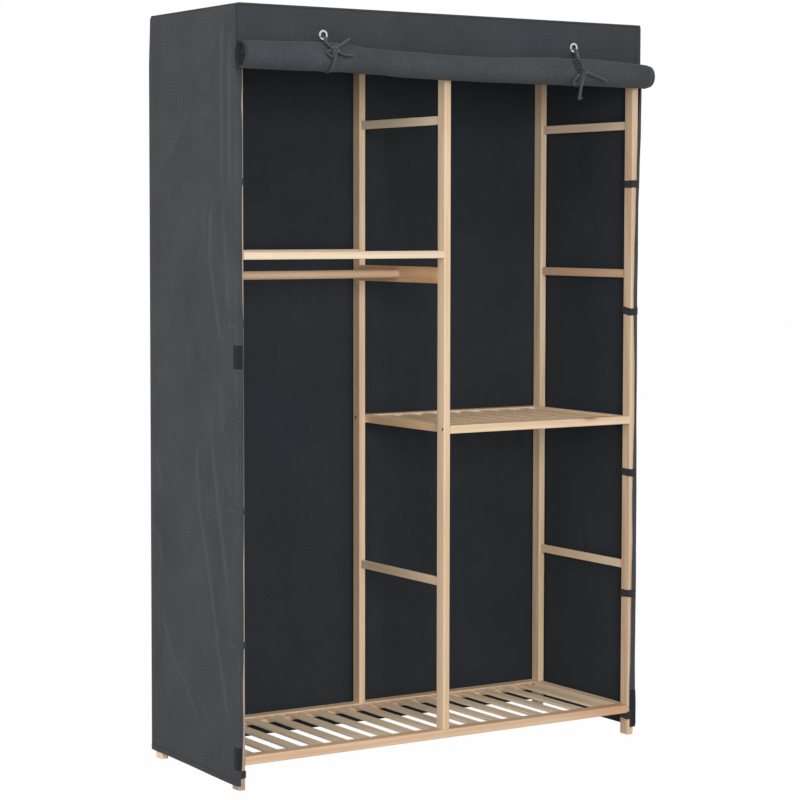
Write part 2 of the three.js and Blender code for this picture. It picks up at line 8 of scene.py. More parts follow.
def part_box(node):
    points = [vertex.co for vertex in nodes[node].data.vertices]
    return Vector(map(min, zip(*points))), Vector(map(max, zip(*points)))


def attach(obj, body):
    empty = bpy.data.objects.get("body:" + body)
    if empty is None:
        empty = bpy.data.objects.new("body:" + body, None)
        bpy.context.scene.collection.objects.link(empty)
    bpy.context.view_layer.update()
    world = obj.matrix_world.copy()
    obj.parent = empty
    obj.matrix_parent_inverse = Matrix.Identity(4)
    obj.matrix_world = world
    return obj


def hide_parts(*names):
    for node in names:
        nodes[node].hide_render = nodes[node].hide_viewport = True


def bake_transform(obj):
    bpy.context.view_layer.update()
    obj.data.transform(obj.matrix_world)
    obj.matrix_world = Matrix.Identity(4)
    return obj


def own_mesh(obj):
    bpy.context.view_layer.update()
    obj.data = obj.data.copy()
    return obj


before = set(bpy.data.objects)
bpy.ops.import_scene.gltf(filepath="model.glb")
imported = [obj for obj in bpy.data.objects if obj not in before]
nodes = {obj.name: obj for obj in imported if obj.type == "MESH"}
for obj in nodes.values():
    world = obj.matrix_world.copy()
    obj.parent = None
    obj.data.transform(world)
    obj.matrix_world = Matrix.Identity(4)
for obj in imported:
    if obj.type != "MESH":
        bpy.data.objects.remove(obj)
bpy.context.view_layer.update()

# Places of the frame that the soft pieces share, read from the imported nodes
band_low, band_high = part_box("cover_front_band")
_, back_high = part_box("cover_back")
top_low, top_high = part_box("cover_top")
roll_low, roll_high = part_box("door_roll")
front_post_low, front_post_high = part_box("front_right_post")
back_post_low, back_post_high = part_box("back_right_post")

HALF_WIDTH = front_post_high.x
FRONT = front_post_low.y
BACK = back_post_high.y
DEPTH = BACK - FRONT
MIDDLE_Y = (FRONT + BACK) / 2
CLOTH_TOP = band_high.z
BAND_BOTTOM = band_low.z
CLOTH_OUT_X = back_high.x
CLOTH_OUT_FRONT = 2 * MIDDLE_Y - (BACK + CLOTH_OUT_X - HALF_WIDTH)
CLOTH_OUT_BACK = BACK + CLOTH_OUT_X - HALF_WIDTH
BAND_FRONT = band_low.y

CLOTH = 0.0011
PANEL_THICKNESS = 0.0022
JOINT_GAP = 0.0003
MILLIMETRE = 0.001
COVER_EDGE = top_low.z + PANEL_THICKNESS
COVER_TOP = top_high.z

# The cover's upper corners, seen from the front, are softer than the frame's
SOFT_CORNER_WIDTH = 0.0065
SOFT_CORNER_HEIGHT = 0.0065


# Small helpers

def smooth(a, b, x):
    """Rises from 0 at a to 1 at b; a may lie above b."""
    t = min(1.0, max(0.0, (x - a) / (b - a)))
    return t * t * (3 - 2 * t)


def lerp(a, b, t):
    return a + (b - a) * t


def linear(channel):
    c = channel / 255
    return c / 12.92 if c <= 0.04045 else ((c + 0.055) / 1.055) ** 2.4


def colour(red, green, blue):
    return (linear(red), linear(green), linear(blue), 1.0)


def close_at_ends(low, high, parts, near, near_parts):
    """Places from low to high, closer together in the last stretch at either end."""
    edge = [near * k / near_parts for k in range(near_parts)]
    middle = [lerp(low + near, high - near, k / parts) for k in range(parts + 1)]
    return [low + d for d in edge] + middle + [high - d for d in edge[::-1]]


def waviness(x, y, scale, seed):
    """Noise from -1 to 1."""
    return noise.noise(Vector((x * scale + seed, y * scale - seed, seed * 0.37)))


def wavy(x, y, scale, seed):
    """The same noise from 0 to 1."""
    return 0.5 + 0.5 * waviness(x, y, scale, seed)


def hill(distance, width):
    """1 at no distance, falling towards 0 past a width."""
    return math.exp(-(distance / width) ** 2)


def along_table(table, height):
    """The values of a table of (height, value, value, ...) at a height, smoothly from row to row."""
    if height <= table[0][0]:
        return table[0][1:]
    for lower, upper in zip(table, table[1:]):
        if height <= upper[0]:
            t = smooth(lower[0], upper[0], height)
            return tuple(lerp(a, b, t) for a, b in zip(lower[1:], upper[1:]))
    return table[-1][1:]


def soften(p):
    """Rounds the cover's upper corners."""
    reach_x, reach_z = min(abs(p.x), CLOTH_OUT_X), min(p.z, COVER_EDGE)
    across = (reach_x - (CLOTH_OUT_X - SOFT_CORNER_WIDTH)) / SOFT_CORNER_WIDTH
    up = (reach_z - (COVER_EDGE - SOFT_CORNER_HEIGHT)) / SOFT_CORNER_HEIGHT
    if across <= 0 or up <= 0:
        return p
    x = abs(p.x) - SOFT_CORNER_WIDTH * across * (1 - math.sqrt(1 - up * up / 2))
    z = p.z - SOFT_CORNER_HEIGHT * up * (1 - math.sqrt(1 - across * across / 2))
    return Vector((math.copysign(x, p.x), p.y, z))


# Meshes

def add_mesh(name, points, faces, body, materials, uvs=None):
    mesh = bpy.data.meshes.new(name)
    mesh.from_pydata([tuple(p) for p in points], [], faces)
    if uvs:
        layer = mesh.uv_layers.new(name="weave")
        for loop in mesh.loops:
            layer.data[loop.index].uv = uvs[loop.vertex_index]
    for polygon in mesh.polygons:
        polygon.use_smooth = True
    for material in materials:
        mesh.materials.append(material)
    mesh.validate()
    mesh.update()
    piece = bpy.data.objects.new(name, mesh)
    bpy.context.scene.collection.objects.link(piece)
    if body:
        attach(piece, body)
    return piece


def grid_faces(columns, rows, turned, skip=()):
    across = columns + 1
    faces = []
    for j in range(rows):
        for i in range(columns):
            if (i, j) in skip:
                continue
            a = j * across + i
            quad = (a, a + 1, a + across + 1, a + across)
            faces.append(quad[::-1] if turned else quad)
    return faces


def steps(values):
    """Running distance along a list of points."""
    total = [0.0]
    for a, b in zip(values, values[1:]):
        total.append(total[-1] + (b - a).length)
    return total


def mark(piece, name, values):
    """Stores a value at each point, which the cloth's material reads."""
    attribute = piece.data.attributes.new(name, "FLOAT", "POINT")
    attribute.data.foreach_set("value", values)


def cloth_grid(name, columns, rows, place, body, materials, turned=False, thickness=CLOTH, marks=None):
    """A cloth through place(i, j), thickened inwards; its UVs are metres along the cloth."""
    across = columns + 1
    points = [place(i, j) for j in range(rows + 1) for i in range(across)]
    along = steps([points[(rows // 2) * across + i] for i in range(across)])
    up = steps([points[j * across + columns // 2] for j in range(rows + 1)])
    uvs = [(along[i], up[j]) for j in range(rows + 1) for i in range(across)]
    piece = add_mesh(name, points, grid_faces(columns, rows, turned), body, materials, uvs)
    # The marks are a painted highlight, stored as crease, and painted shade, stored as painted_shade.
    if marks:
        values = [marks(i, j) for j in range(rows + 1) for i in range(across)]
        mark(piece, "crease", [v[0] for v in values])
        mark(piece, "painted_shade", [v[1] for v in values])
    thicken(piece, thickness)
    return piece


def thicken(piece, thickness):
    solidify = piece.modifiers.new("thickness", "SOLIDIFY")
    solidify.thickness = thickness
    solidify.offset = -1
    solidify.material_offset = 1 if len(piece.data.materials) > 1 else 0


def facing_at(surface, u, v, facing, reach):
    """The way a surface(u, v) faces."""
    across = surface(u + reach[0], v) - surface(u - reach[0], v)
    up = surface(u, v + reach[1]) - surface(u, v - reach[1])
    return across.cross(up).normalized() * facing


STITCH_PITCH = 0.0046
STITCH_WIDTH = 0.0008
STITCH_SUNK = 0.0003
STITCH_PROUD = 0.0006
STITCH_FACES = ((0, 3, 2, 1), (0, 1, 4), (2, 3, 5), (1, 2, 5, 4), (3, 0, 4, 5))


def add_stitches(name, surface, start, end, facing, reach, finish=None, pitch=STITCH_PITCH,
                 width=STITCH_WIDTH):
    """A row of raised stitches on surface(u, v), from one place on it to another."""
    def on_row(t):
        u, v = lerp(start[0], end[0], t), lerp(start[1], end[1], t)
        return surface(u, v), facing_at(surface, u, v, facing, reach)

    length = steps([on_row(k / 60)[0] for k in range(61)])[-1]
    count = max(1, round(length / pitch))
    points = []
    faces = []
    for k in range(count):
        a, out = on_row((k + 0.14) / count)
        b, _ = on_row((k + 0.82) / count)
        side = (b - a).cross(out).normalized() * width / 2
        sunk, proud = out * STITCH_SUNK, out * STITCH_PROUD
        first = len(points)
        points += [a + side - sunk, a - side - sunk, b - side - sunk, b + side - sunk,
                   a.lerp(b, 0.2) + proud, a.lerp(b, 0.8) + proud]
        faces += [tuple(first + index for index in face) for face in STITCH_FACES]
    piece = add_mesh(name, points, faces, "wardrobe", [finish or thread])
    return piece


def add_patch(name, surface, u_span, v_span, cells, facing, reach, proud):
    """A pad with rounded edges that lies on surface(u, v)."""
    columns, rows = cells

    def place(i, j):
        u, v = lerp(*u_span, i / columns), lerp(*v_span, j / rows)
        edge = min(i, columns - i, j, rows - j)
        lift = proud * (0.35 if edge == 0 else 0.85 if edge == 1 else 1.0)
        return surface(u, v) + facing_at(surface, u, v, facing, reach) * lift

    piece = cloth_grid(name, columns, rows, place, "wardrobe", [hook_tape], turned=facing < 0,
                       thickness=proud)


def sleeve_faces(count, sides, closed=False):
    """The faces between rings of points, with both ends covered unless the last ring meets the first."""
    faces = []
    for i in range(count if closed else count - 1):
        here, after = i * sides, (i + 1) % count * sides
        for k in range(sides):
            n = (k + 1) % sides
            faces.append((here + k, here + n, after + n, after + k))
    if not closed:
        faces.append(tuple(range(sides))[::-1])
        faces.append(tuple((count - 1) * sides + k for k in range(sides)))
    return faces


def tube(name, path, radius, sides, finish):
    """A round cord along a closed path of points."""
    count = len(path)
    points = []
    up = Vector((0, 0, 1))
    for i, p in enumerate(path):
        along = (path[(i + 1) % count] - path[i - 1]).normalized()
        side = along.cross(up)
        if side.length < 0.1:
            side = along.cross(Vector((0, 1, 0)))
        side.normalize()
        rise = side.cross(along)
        for k in range(sides):
            angle = k / sides * math.tau
            points.append(p + side * math.cos(angle) * radius + rise * math.sin(angle) * radius)
    return add_mesh(name, points, sleeve_faces(count, sides, closed=True), "wardrobe", [finish])


def catmull(places, parts):
    """A smooth line through places, with parts points from each to the next."""
    ends = [places[0] * 2 - places[1], *places, places[-1] * 2 - places[-2]]
    line = []
    for i in range(1, len(ends) - 2):
        p0, p1, p2, p3 = ends[i - 1:i + 3]
        for k in range(parts):
            t = k / parts
            line.append(0.5 * (
                2 * p1 + (p2 - p0) * t + (2 * p0 - 5 * p1 + 4 * p2 - p3) * t * t
                + (3 * p1 - p0 - 3 * p2 + p3) * t ** 3))
    line.append(places[-1].copy())
    return line


# Camera at the photograph's angle

CAMERA_PLACE = (-3.054762, -4.722392, 1.245452)
CAMERA_YAW = 32.739
CAMERA_PITCH = 4.218
CAMERA_ROLL = 0.074
LENS = 107.5255
SENSOR = 36.0


def add_camera():
    data = bpy.data.cameras.new("camera")
    data.lens = LENS
    data.sensor_width = SENSOR
    data.clip_end = 100
    camera = bpy.data.objects.new("camera", data)
    turn = Matrix.Rotation(math.radians(-CAMERA_YAW), 4, "Z")
    tilt = Matrix.Rotation(math.radians(90 - CAMERA_PITCH), 4, "X")
    roll = Matrix.Rotation(math.radians(CAMERA_ROLL), 4, "Z")
    camera.matrix_world = Matrix.Translation(CAMERA_PLACE) @ turn @ tilt @ roll
    bpy.context.scene.collection.objects.link(camera)
    bpy.context.scene.camera = camera


add_camera()


# Material helpers

def new_material(name):
    material = bpy.data.materials.new(name)
    material.use_nodes = True
    material.node_tree.nodes.clear()
    return material, material.node_tree


def node(tree, kind, inputs=None, **settings):
    """A shader node whose inputs are constants or other nodes' outputs."""
    made = tree.nodes.new("ShaderNode" + kind)
    for key, value in settings.items():
        setattr(made, key, value)
    for key, value in (inputs or {}).items():
        if isinstance(value, bpy.types.NodeSocket):
            tree.links.new(value, made.inputs[key])
        else:
            made.inputs[key].default_value = value
    return made


def math_node(tree, operation, *values):
    return node(tree, "Math", dict(enumerate(values)), operation=operation).outputs[0]


def times(tree, a, b):
    return math_node(tree, "MULTIPLY", a, b)


def plus(tree, a, b):
    return math_node(tree, "ADD", a, b)


def weighted(tree, a, a_share, b, b_share):
    return plus(tree, times(tree, a, a_share), times(tree, b, b_share))


def sine(tree, value, turns):
    return math_node(tree, "SINE", times(tree, value, turns))


def from_zero(tree, value):
    """Brings a value between -1 and 1 to between 0 and 1."""
    return math_node(tree, "MULTIPLY_ADD", value, 0.5, 0.5)


def split(tree, vector):
    return node(tree, "SeparateXYZ", {0: vector}).outputs


def shifted(tree, coordinates, **amounts):
    spread = node(tree, "CombineXYZ", amounts).outputs[0]
    return node(tree, "VectorMath", {0: coordinates, 1: spread}, operation="ADD").outputs[0]


def scaled(tree, coordinates, scale):
    return node(tree, "Mapping", {"Vector": coordinates, "Scale": scale}).outputs["Vector"]


def object_place(tree):
    return node(tree, "TexCoord").outputs["Object"]


def piece_chance(tree):
    return node(tree, "ObjectInfo").outputs["Random"]


def stored(tree, name):
    """A value that mark() stored on the piece."""
    return node(tree, "Attribute", attribute_name=name).outputs["Fac"]


def facing_along(tree, axis):
    """How squarely a face looks along an axis, from 0 to 1."""
    normal = node(tree, "NewGeometry").outputs["Normal"]
    return math_node(tree, "ABSOLUTE", split(tree, normal)[axis])


def noise_node(tree, coordinates, scale, detail=2.0, roughness=0.5):
    return node(tree, "TexNoise", {
        "Vector": coordinates, "Scale": scale, "Detail": detail, "Roughness": roughness}).outputs["Fac"]


def ramp(tree, factor, stops):
    made = node(tree, "ValToRGB", {"Fac": factor})
    elements = made.color_ramp.elements
    while len(elements) < len(stops):
        elements.new(0.5)
    for element, (place, tint) in zip(elements, stops):
        element.position = place
        element.color = tint
    return made.outputs["Color"]


def grey(value):
    return (value, value, value, 1.0)


def greys(tree, factor, *stops):
    return ramp(tree, factor, [(place, grey(value)) for place, value in stops])


def times_colour(tint, factor):
    return tuple(min(1.0, c * factor) for c in tint[:3]) + (1.0,)


def mix_colours(tree, factor, a, b, blend="MIX"):
    return node(tree, "Mix", {0: factor, 6: a, 7: b}, data_type="RGBA", blend_type=blend).outputs[2]


def tinted(tree, a, b):
    return mix_colours(tree, 1.0, a, b, "MULTIPLY")


def bump(tree, height, distance):
    return node(tree, "Bump", {"Height": height, "Distance": distance, "Strength": 1.0}).outputs["Normal"]


def finish_material(tree, inputs):
    shader = node(tree, "BsdfPrincipled", inputs)
    node(tree, "OutputMaterial", {"Surface": shader.outputs["BSDF"]})


# Pine

PINE_LIGHT = colour(240, 215, 185)
PINE_MIDDLE = colour(230, 200, 168)
PINE_DARK = colour(203, 163, 124)
PINE_KNOT = colour(140, 92, 56)
PINE_ROSE = colour(226, 190, 158)
PINE_STRAW = colour(236, 214, 174)
# Colours of painted light on pine, for paler and warmer faces
PINE_PAINTED_LIGHT = colour(254, 232, 201)
PINE_WARM_LIGHT = colour(246, 200, 150)
PINE_RELIEF = 0.00025

# Tints that set one bar apart from the next, by chance
PINE_OWN = [(0.0, (0.84, 0.83, 0.84, 1)), (0.25, (1.0, 0.96, 0.93, 1)), (0.5, (0.9, 0.89, 0.9, 1)),
            (0.75, (1.0, 1.0, 1.0, 1)), (1.0, (0.92, 0.87, 0.82, 1))]

# Scales of the pattern along and across the grain, and of its noises
RING_STRETCH = 0.035
FIBRE_STRETCH = 0.02
KNOT_ALONG = 2.6
KNOT_ACROSS = 7.0
RING_DRIFT_SCALE = 14.0
RING_TURNS = 46.0
RING_SHARPNESS = 2.2
FIBRE_SCALE = 620.0
TONE_SCALE = 5.0
HUE_SCALE = 62.0

# The shelf panel: its slats' pitch, and how far the pattern moves from slat to slat
PANEL_PITCH = 0.0515
PANEL_SHIFT_X = 0.717
PANEL_SHIFT_Z = 1.313


def along_axis(axis, along, across=1.0):
    return [along if name == axis else across for name in "XYZ"]


def pine_pattern(tree, coordinates, axis, own_share=0.4):
    """The colour and relief of pine whose grain runs along an axis of the coordinates."""
    long_way = scaled(tree, coordinates, along_axis(axis, RING_STRETCH))
    fibre_way = scaled(tree, coordinates, along_axis(axis, FIBRE_STRETCH))
    knot_way = scaled(tree, coordinates, along_axis(axis, KNOT_ALONG, KNOT_ACROSS))
    drift = noise_node(tree, long_way, RING_DRIFT_SCALE)
    rings = math_node(tree, "POWER", from_zero(tree, sine(tree, drift, RING_TURNS)), RING_SHARPNESS)
    fibres = noise_node(tree, fibre_way, FIBRE_SCALE, detail=3.0, roughness=0.6)
    tone = noise_node(tree, long_way, TONE_SCALE, detail=1.0)
    hue = noise_node(tree, long_way, HUE_SCALE, detail=1.0)
    base = ramp(tree, tone, [(0.32, PINE_MIDDLE), (0.68, PINE_LIGHT)])
    base = mix_colours(tree, greys(tree, hue, (0.53, 0.0), (0.67, 0.6)), base, PINE_ROSE)
    base = mix_colours(tree, greys(tree, hue, (0.35, 0.7), (0.49, 0.0)), base, PINE_STRAW)
    ringed = mix_colours(tree, times(tree, rings, 0.34), base, PINE_DARK)
    fine = tinted(tree, ringed, greys(tree, fibres, (0.3, 0.88), (0.62, 1.0)))
    cells = node(tree, "TexVoronoi", {"Vector": knot_way, "Scale": 1.0}).outputs["Distance"]
    knots = greys(tree, cells, (0.035, 1.0), (0.06, 0.35), (0.1, 0.0))
    knotted = mix_colours(tree, knots, fine, PINE_KNOT)
    own = ramp(tree, piece_chance(tree), PINE_OWN)
    shade = mix_colours(tree, own_share, knotted, tinted(tree, knotted, own))
    return shade, weighted(tree, fibres, 0.6, rings, 0.4)


def own_coordinates(tree):
    """Object coordinates moved by an amount of each piece's own, so that no two bars match."""
    where = object_place(tree)
    chance = piece_chance(tree)
    moved = shifted(tree, where, X=times(tree, chance, 7.3), Y=times(tree, chance, 11.9),
                    Z=times(tree, chance, 5.1))
    return moved, where


def pine_finish(tree, tint, relief):
    finish_material(tree, {
        "Base Color": tint,
        "Roughness": greys(tree, relief, (0.2, 0.66), (0.8, 0.5)),
        "Specular IOR Level": 0.35,
        "Normal": bump(tree, relief, PINE_RELIEF)})


def make_pine(name, axis, tint=None, own_share=0.4, painted_light=0.0, side_painted_light=0.0, right_end=None):
    """Pine with its grain along an axis; painted light can make it paler all over and on its side faces, and
    its right end can take another tint.
    """
    material, tree = new_material("pine_" + name)
    coordinates, where = own_coordinates(tree)
    shade, relief = pine_pattern(tree, coordinates, axis, own_share)
    # Painted light: faces that look along X made paler, and the whole bar made paler by painted_light.
    painted_side_light = times(tree, facing_along(tree, "X"), side_painted_light)
    shade = mix_colours(tree, plus(tree, painted_side_light, painted_light), shade, PINE_PAINTED_LIGHT)
    if tint:
        shade = tinted(tree, shade, colour(*tint))
    if right_end:
        near_end = greys(tree, split(tree, where)["X"], (0.3, 0.0), (0.48, 1.0))
        shade = mix_colours(tree, near_end, shade, tinted(tree, shade, colour(*right_end)))
    pine_finish(tree, shade, relief)
    return material


def make_panel_pine(reach):
    """Pine of a panel whose rails run along X outside reach from its middle, and slats along Y."""
    material, tree = new_material("pine_panel")
    coordinates, where = own_coordinates(tree)
    parts = split(tree, where)
    board = math_node(tree, "FLOOR", math_node(tree, "DIVIDE", parts["X"], PANEL_PITCH))
    moved = shifted(tree, coordinates, X=times(tree, board, PANEL_SHIFT_X),
                    Z=times(tree, board, PANEL_SHIFT_Z))
    rail_tint, rail_relief = pine_pattern(tree, coordinates, "X")
    slat_tint, slat_relief = pine_pattern(tree, moved, "Y")
    off_middle = math_node(tree, "ABSOLUTE", math_node(tree, "SUBTRACT", parts["Y"], MIDDLE_Y))
    is_rail = math_node(tree, "GREATER_THAN", off_middle, reach)
    # Painted light: the slats' top faces paler and their side faces warmer.
    slat_tint = mix_colours(tree, times(tree, facing_along(tree, "Z"), 0.8), slat_tint, PINE_PAINTED_LIGHT)
    slat_tint = mix_colours(tree, times(tree, facing_along(tree, "X"), 0.6), slat_tint, PINE_WARM_LIGHT)
    relief = node(tree, "Mix", {0: is_rail, 2: slat_relief, 3: rail_relief}).outputs[0]
    pine_finish(tree, mix_colours(tree, is_rail, slat_tint, rail_tint), relief)
    return material


# Cloth

WEAVE_PITCH = 0.0013
WEAVE_RELIEF = 0.00022
SLUB_LONG = 9
SLUB_FINE = 420


def weave_height(tree, coordinates):
    """Over and under threads of a plain weave, as a height from 0 to 1."""
    parts = split(tree, coordinates)
    turns = math.tau / (2 * WEAVE_PITCH)
    return from_zero(tree, times(tree, sine(tree, parts["X"], turns), sine(tree, parts["Y"], turns)))


def weave_coordinates(tree, flat_axes):
    """The cloth's own coordinates, or the object's along two axes for a cloth that stretches."""
    if flat_axes is None:
        return node(tree, "TexCoord").outputs["UV"]
    parts = split(tree, object_place(tree))
    first, second = flat_axes
    return node(tree, "CombineXYZ", {"X": parts[first], "Y": parts[second]}).outputs[0]


def make_cloth(name, dark, light, flat_axes=None, sheen=0.05):
    material, tree = new_material(name)
    dark, light = colour(*dark), colour(*light)
    where = weave_coordinates(tree, flat_axes)
    weave = weave_height(tree, where)
    cloudy = noise_node(tree, where, 7.0, detail=4.0, roughness=0.62)
    warp_slubs = noise_node(tree, scaled(tree, where, (SLUB_FINE, SLUB_LONG, 1)), 1.0)
    weft_slubs = noise_node(tree, scaled(tree, where, (SLUB_LONG, SLUB_FINE, 1)), 1.0)
    slubs = times(tree, plus(tree, warp_slubs, weft_slubs), 0.5)
    mottle = noise_node(tree, where, 290.0, roughness=0.7)
    streaks = noise_node(tree, scaled(tree, where, (150, 7, 1)), 1.0)
    fine = weighted(tree, mottle, 0.85, streaks, 0.15)
    broad = weighted(tree, cloudy, 0.6, slubs, 0.4)
    base = ramp(tree, weighted(tree, broad, 0.4, fine, 0.6), [(0.38, dark), (0.62, light)])
    cast = noise_node(tree, where, 2.3, detail=1.0)
    base = tinted(tree, base, ramp(tree, cast, [(0.4, (0.99, 0.99, 1.02, 1)), (0.6, (1.01, 1.01, 0.99, 1))]))
    tint = tinted(tree, base, greys(tree, weave, (0.0, 0.84), (0.6, 1.0)))
    # Painted highlight where crease is stored, painted shade where painted_shade is stored.
    tint = mix_colours(tree, times(tree, stored(tree, "crease"), 0.3), tint, times_colour(light, 1.9))
    tint = mix_colours(tree, times(tree, stored(tree, "painted_shade"), 0.7), tint, times_colour(dark, 0.25))
    finish_material(tree, {
        "Base Color": tint,
        "Roughness": greys(tree, weave, (0.0, 0.92), (1.0, 0.78)),
        "Specular IOR Level": 0.16,
        "Sheen Weight": sheen,
        "Sheen Roughness": 0.45,
        "Normal": bump(tree, weighted(tree, weave, 0.7, slubs, 0.6), WEAVE_RELIEF)})
    return material


def make_webbing(name, dark, light, pitch, sheen=0.1):
    """Woven tape: slanted ribs over a faint crosswise rib."""
    material, tree = new_material(name)
    dark, light = colour(*dark), colour(*light)
    where = object_place(tree)
    parts = split(tree, where)
    around = plus(tree, parts["X"], parts["Y"])
    turns = math.tau / pitch
    slant = sine(tree, plus(tree, around, parts["Z"]), turns)
    counter = sine(tree, math_node(tree, "SUBTRACT", around, parts["Z"]), turns)
    ribs = from_zero(tree, math_node(tree, "MAXIMUM", slant, counter))
    fuzz = noise_node(tree, where, 900.0)
    tone = weighted(tree, ribs, 0.6, fuzz, 0.4)
    finish_material(tree, {
        # Painted shade where painted_shade is stored.
        "Base Color": mix_colours(tree, times(tree, stored(tree, "painted_shade"), 0.8),
                                  ramp(tree, tone, [(0.25, dark), (0.8, light)]), times_colour(dark, 0.2)),
        "Roughness": greys(tree, fuzz, (0.3, 0.85), (0.7, 0.7)),
        "Specular IOR Level": 0.25,
        "Sheen Weight": sheen,
        "Normal": bump(tree, tone, 0.0003)})
    return material


def make_metal(name, tint):
    material, tree = new_material(name)
    tint = colour(*tint)
    where = object_place(tree)
    smudge = noise_node(tree, where, 160.0, detail=3.0, roughness=0.6)
    fine = noise_node(tree, scaled(tree, where, (900, 900, 2600)), 1.0)
    finish_material(tree, {
        "Base Color": ramp(tree, smudge, [(0.3, times_colour(tint, 0.78)), (0.65, tint)]),
        "Metallic": 1.0,
        "Roughness": greys(tree, smudge, (0.3, 0.34), (0.7, 0.2)),
        "Normal": bump(tree, fine, 0.00004)})
    return material


outside_cloth = make_cloth("cloth_outside", (51, 54, 56), (76, 79, 81))
# The inner side is darker than the outer, partly as the fabric's own inner side and partly as painted shade.
inside_cloth = make_cloth("cloth_inside", (36, 40, 44), (48, 52, 56), sheen=0.03)
# A lighter copy of the inner side for the right side's inner face: painted light.
right_inside_lit = make_cloth("cloth_right_inside_lit", (40, 44, 49), (53, 57, 62), sheen=0.03)
# A darker copy of the outer side for the band and the door: painted shade.
front_outside_shaded = make_cloth("cloth_front_outside_shaded", (47, 50, 53), (69, 72, 75), flat_axes="XZ")
front_inside = make_cloth("cloth_front_inside", (36, 40, 44), (48, 52, 56), flat_axes="XZ")
roll_outside = make_cloth("cloth_roll_outside", (51, 54, 56), (76, 79, 82))
# A lighter copy of the inner side for the roll's inner layers: painted light in the roll's hollow.
roll_inside_lit = make_cloth("cloth_roll_inside_lit", (52, 56, 59), (72, 76, 79))
lace_tape = make_webbing("lace_tape", (50, 52, 55), (82, 85, 89), 0.0011)
lace_shade = make_webbing("lace_shade", (26, 27, 30), (50, 52, 56), 0.0011)
strap_webbing = make_webbing("strap_webbing", (22, 23, 25), (44, 45, 48), 0.0022)
thread = make_webbing("thread", (50, 52, 55), (80, 83, 87), 0.0006)
pale_thread = make_webbing("thread_pale", (80, 83, 86), (118, 121, 124), 0.0006)
hook_tape = make_webbing("hook_tape", (10, 11, 13), (30, 31, 35), 0.0012, sheen=0.01)
nickel = make_metal("eyelet_nickel", (214, 212, 206))
screw_zinc = make_metal("screw_zinc", (120, 110, 92))

pine_z = make_pine("post", "Z")
# The middle post's side faces are made paler: painted light.
pine_post_warm = make_pine("post_warm", "Z", tint=(243, 239, 236), side_painted_light=0.4)
pine_post_grey = make_pine("post_grey", "Z", tint=(236, 234, 234))
pine_post_left = make_pine("post_left", "Z", tint=(200, 205, 220))
pine_x = make_pine("rail", "X", own_share=0.2)
pine_front_rail = make_pine("front_rail", "X", tint=(249, 245, 243), own_share=0.2,
                            right_end=(235, 214, 208))
pine_round = make_pine("round_rail", "X", tint=(233, 228, 225), own_share=0.0)
# Copies given painted_light are made paler all over: painted light.
pine_post_pale = make_pine("post_pale", "Z", painted_light=0.65)
pine_upper_rail = make_pine("upper_rail", "X", tint=(243, 248, 255), own_share=0.0, painted_light=0.2)
pine_y = make_pine("rung", "Y", painted_light=0.3)
pine_rung_pale = make_pine("rung_pale", "Y", painted_light=0.75)
pine_rung_rosy = make_pine("rung_rosy", "Y", tint=(240, 223, 217))
pine_slat = make_pine("slat", "Y", own_share=0.5, painted_light=0.6)
pine_board = make_pine("board", "Y", tint=(250, 228, 206), own_share=0.0)
panel_pine = make_panel_pine(BACK - back_post_low.y + 0.14)


# Laces: flat tapes. Each route goes from its first tail through the bow, the eyelet and back.

LACE_SHIFT = Vector((0, MIDDLE_Y, 0))
LACE_WIDTHS = (0.0072, 0.0088)
LACE_THICKNESS = 0.0022
LACE_CLEARANCE = 0.0026
LACE_CLEARANCE_BELOW = 0.0014
LACE_STEPS = 6
LIGHT_FROM = Vector((0.45, 0, 0.89))

# A tape's section in shares of its width and thickness
TAPE_SECTION = ((-0.5, -0.25), (-0.35, -0.5), (0.35, -0.5), (0.5, -0.25),
                (0.5, 0.25), (0.35, 0.5), (-0.35, 0.5), (-0.5, 0.25))

ROLL_RADIUS = (roll_high.y - roll_low.y) / 2
ROLL_AXIS_Z = roll_high.z - ROLL_RADIUS
ROLL_AXIS_Y = roll_high.y - ROLL_RADIUS

LEFT_LACE = [
    (-299, -273.5, 1611.4), (-313.4, -274, 1610.4), (-326.1, -273.9, 1612.5), (-335.9, -273.4, 1616.5),
    (-342.8, -272.6, 1620.6), (-350.5, -272.4, 1620.3), (-359.7, -272.8, 1618.6), (-364.7, -273.4, 1614.9),
    (-360, -274, 1609.4), (-352.4, -274.4, 1606.3), (-346.2, -275.6, 1611.7), (-347.9, -275, 1619),
    (-352.9, -271.6, 1625.5), (-358, -266.5, 1631.5), (-359, -259.5, 1637.8), (-354, -248, 1644.5),
    (-347.5, -235, 1650), (-340, -220, 1654.4), (-335, -209.5, 1656), (-335, -204, 1657),
    (-333, -199.8, 1662), (-330.5, -196.4, 1661), (-330.6, -194.6, 1652), (-336.2, -195, 1612),
    (-337.4, -200, 1600.5),
    (-338.5, -208.4, 1590.4), (-340, -216.2, 1581.6), (-342, -226.3, 1575.8), (-344.5, -237.9, 1573.8),
    (-347, -249.6, 1575.8), (-348.2, -262, 1582.5), (-347.6, -270.4, 1592.9), (-346.9, -274.4, 1603.5),
    (-345.6, -276, 1614.1), (-344.7, -273, 1624), (-336.3, -268.5, 1628.9), (-322.9, -263, 1634.7),
    (-308, -254, 1641.5), (-295, -242, 1647.6), (-283, -230, 1651), (-276, -220, 1653)]
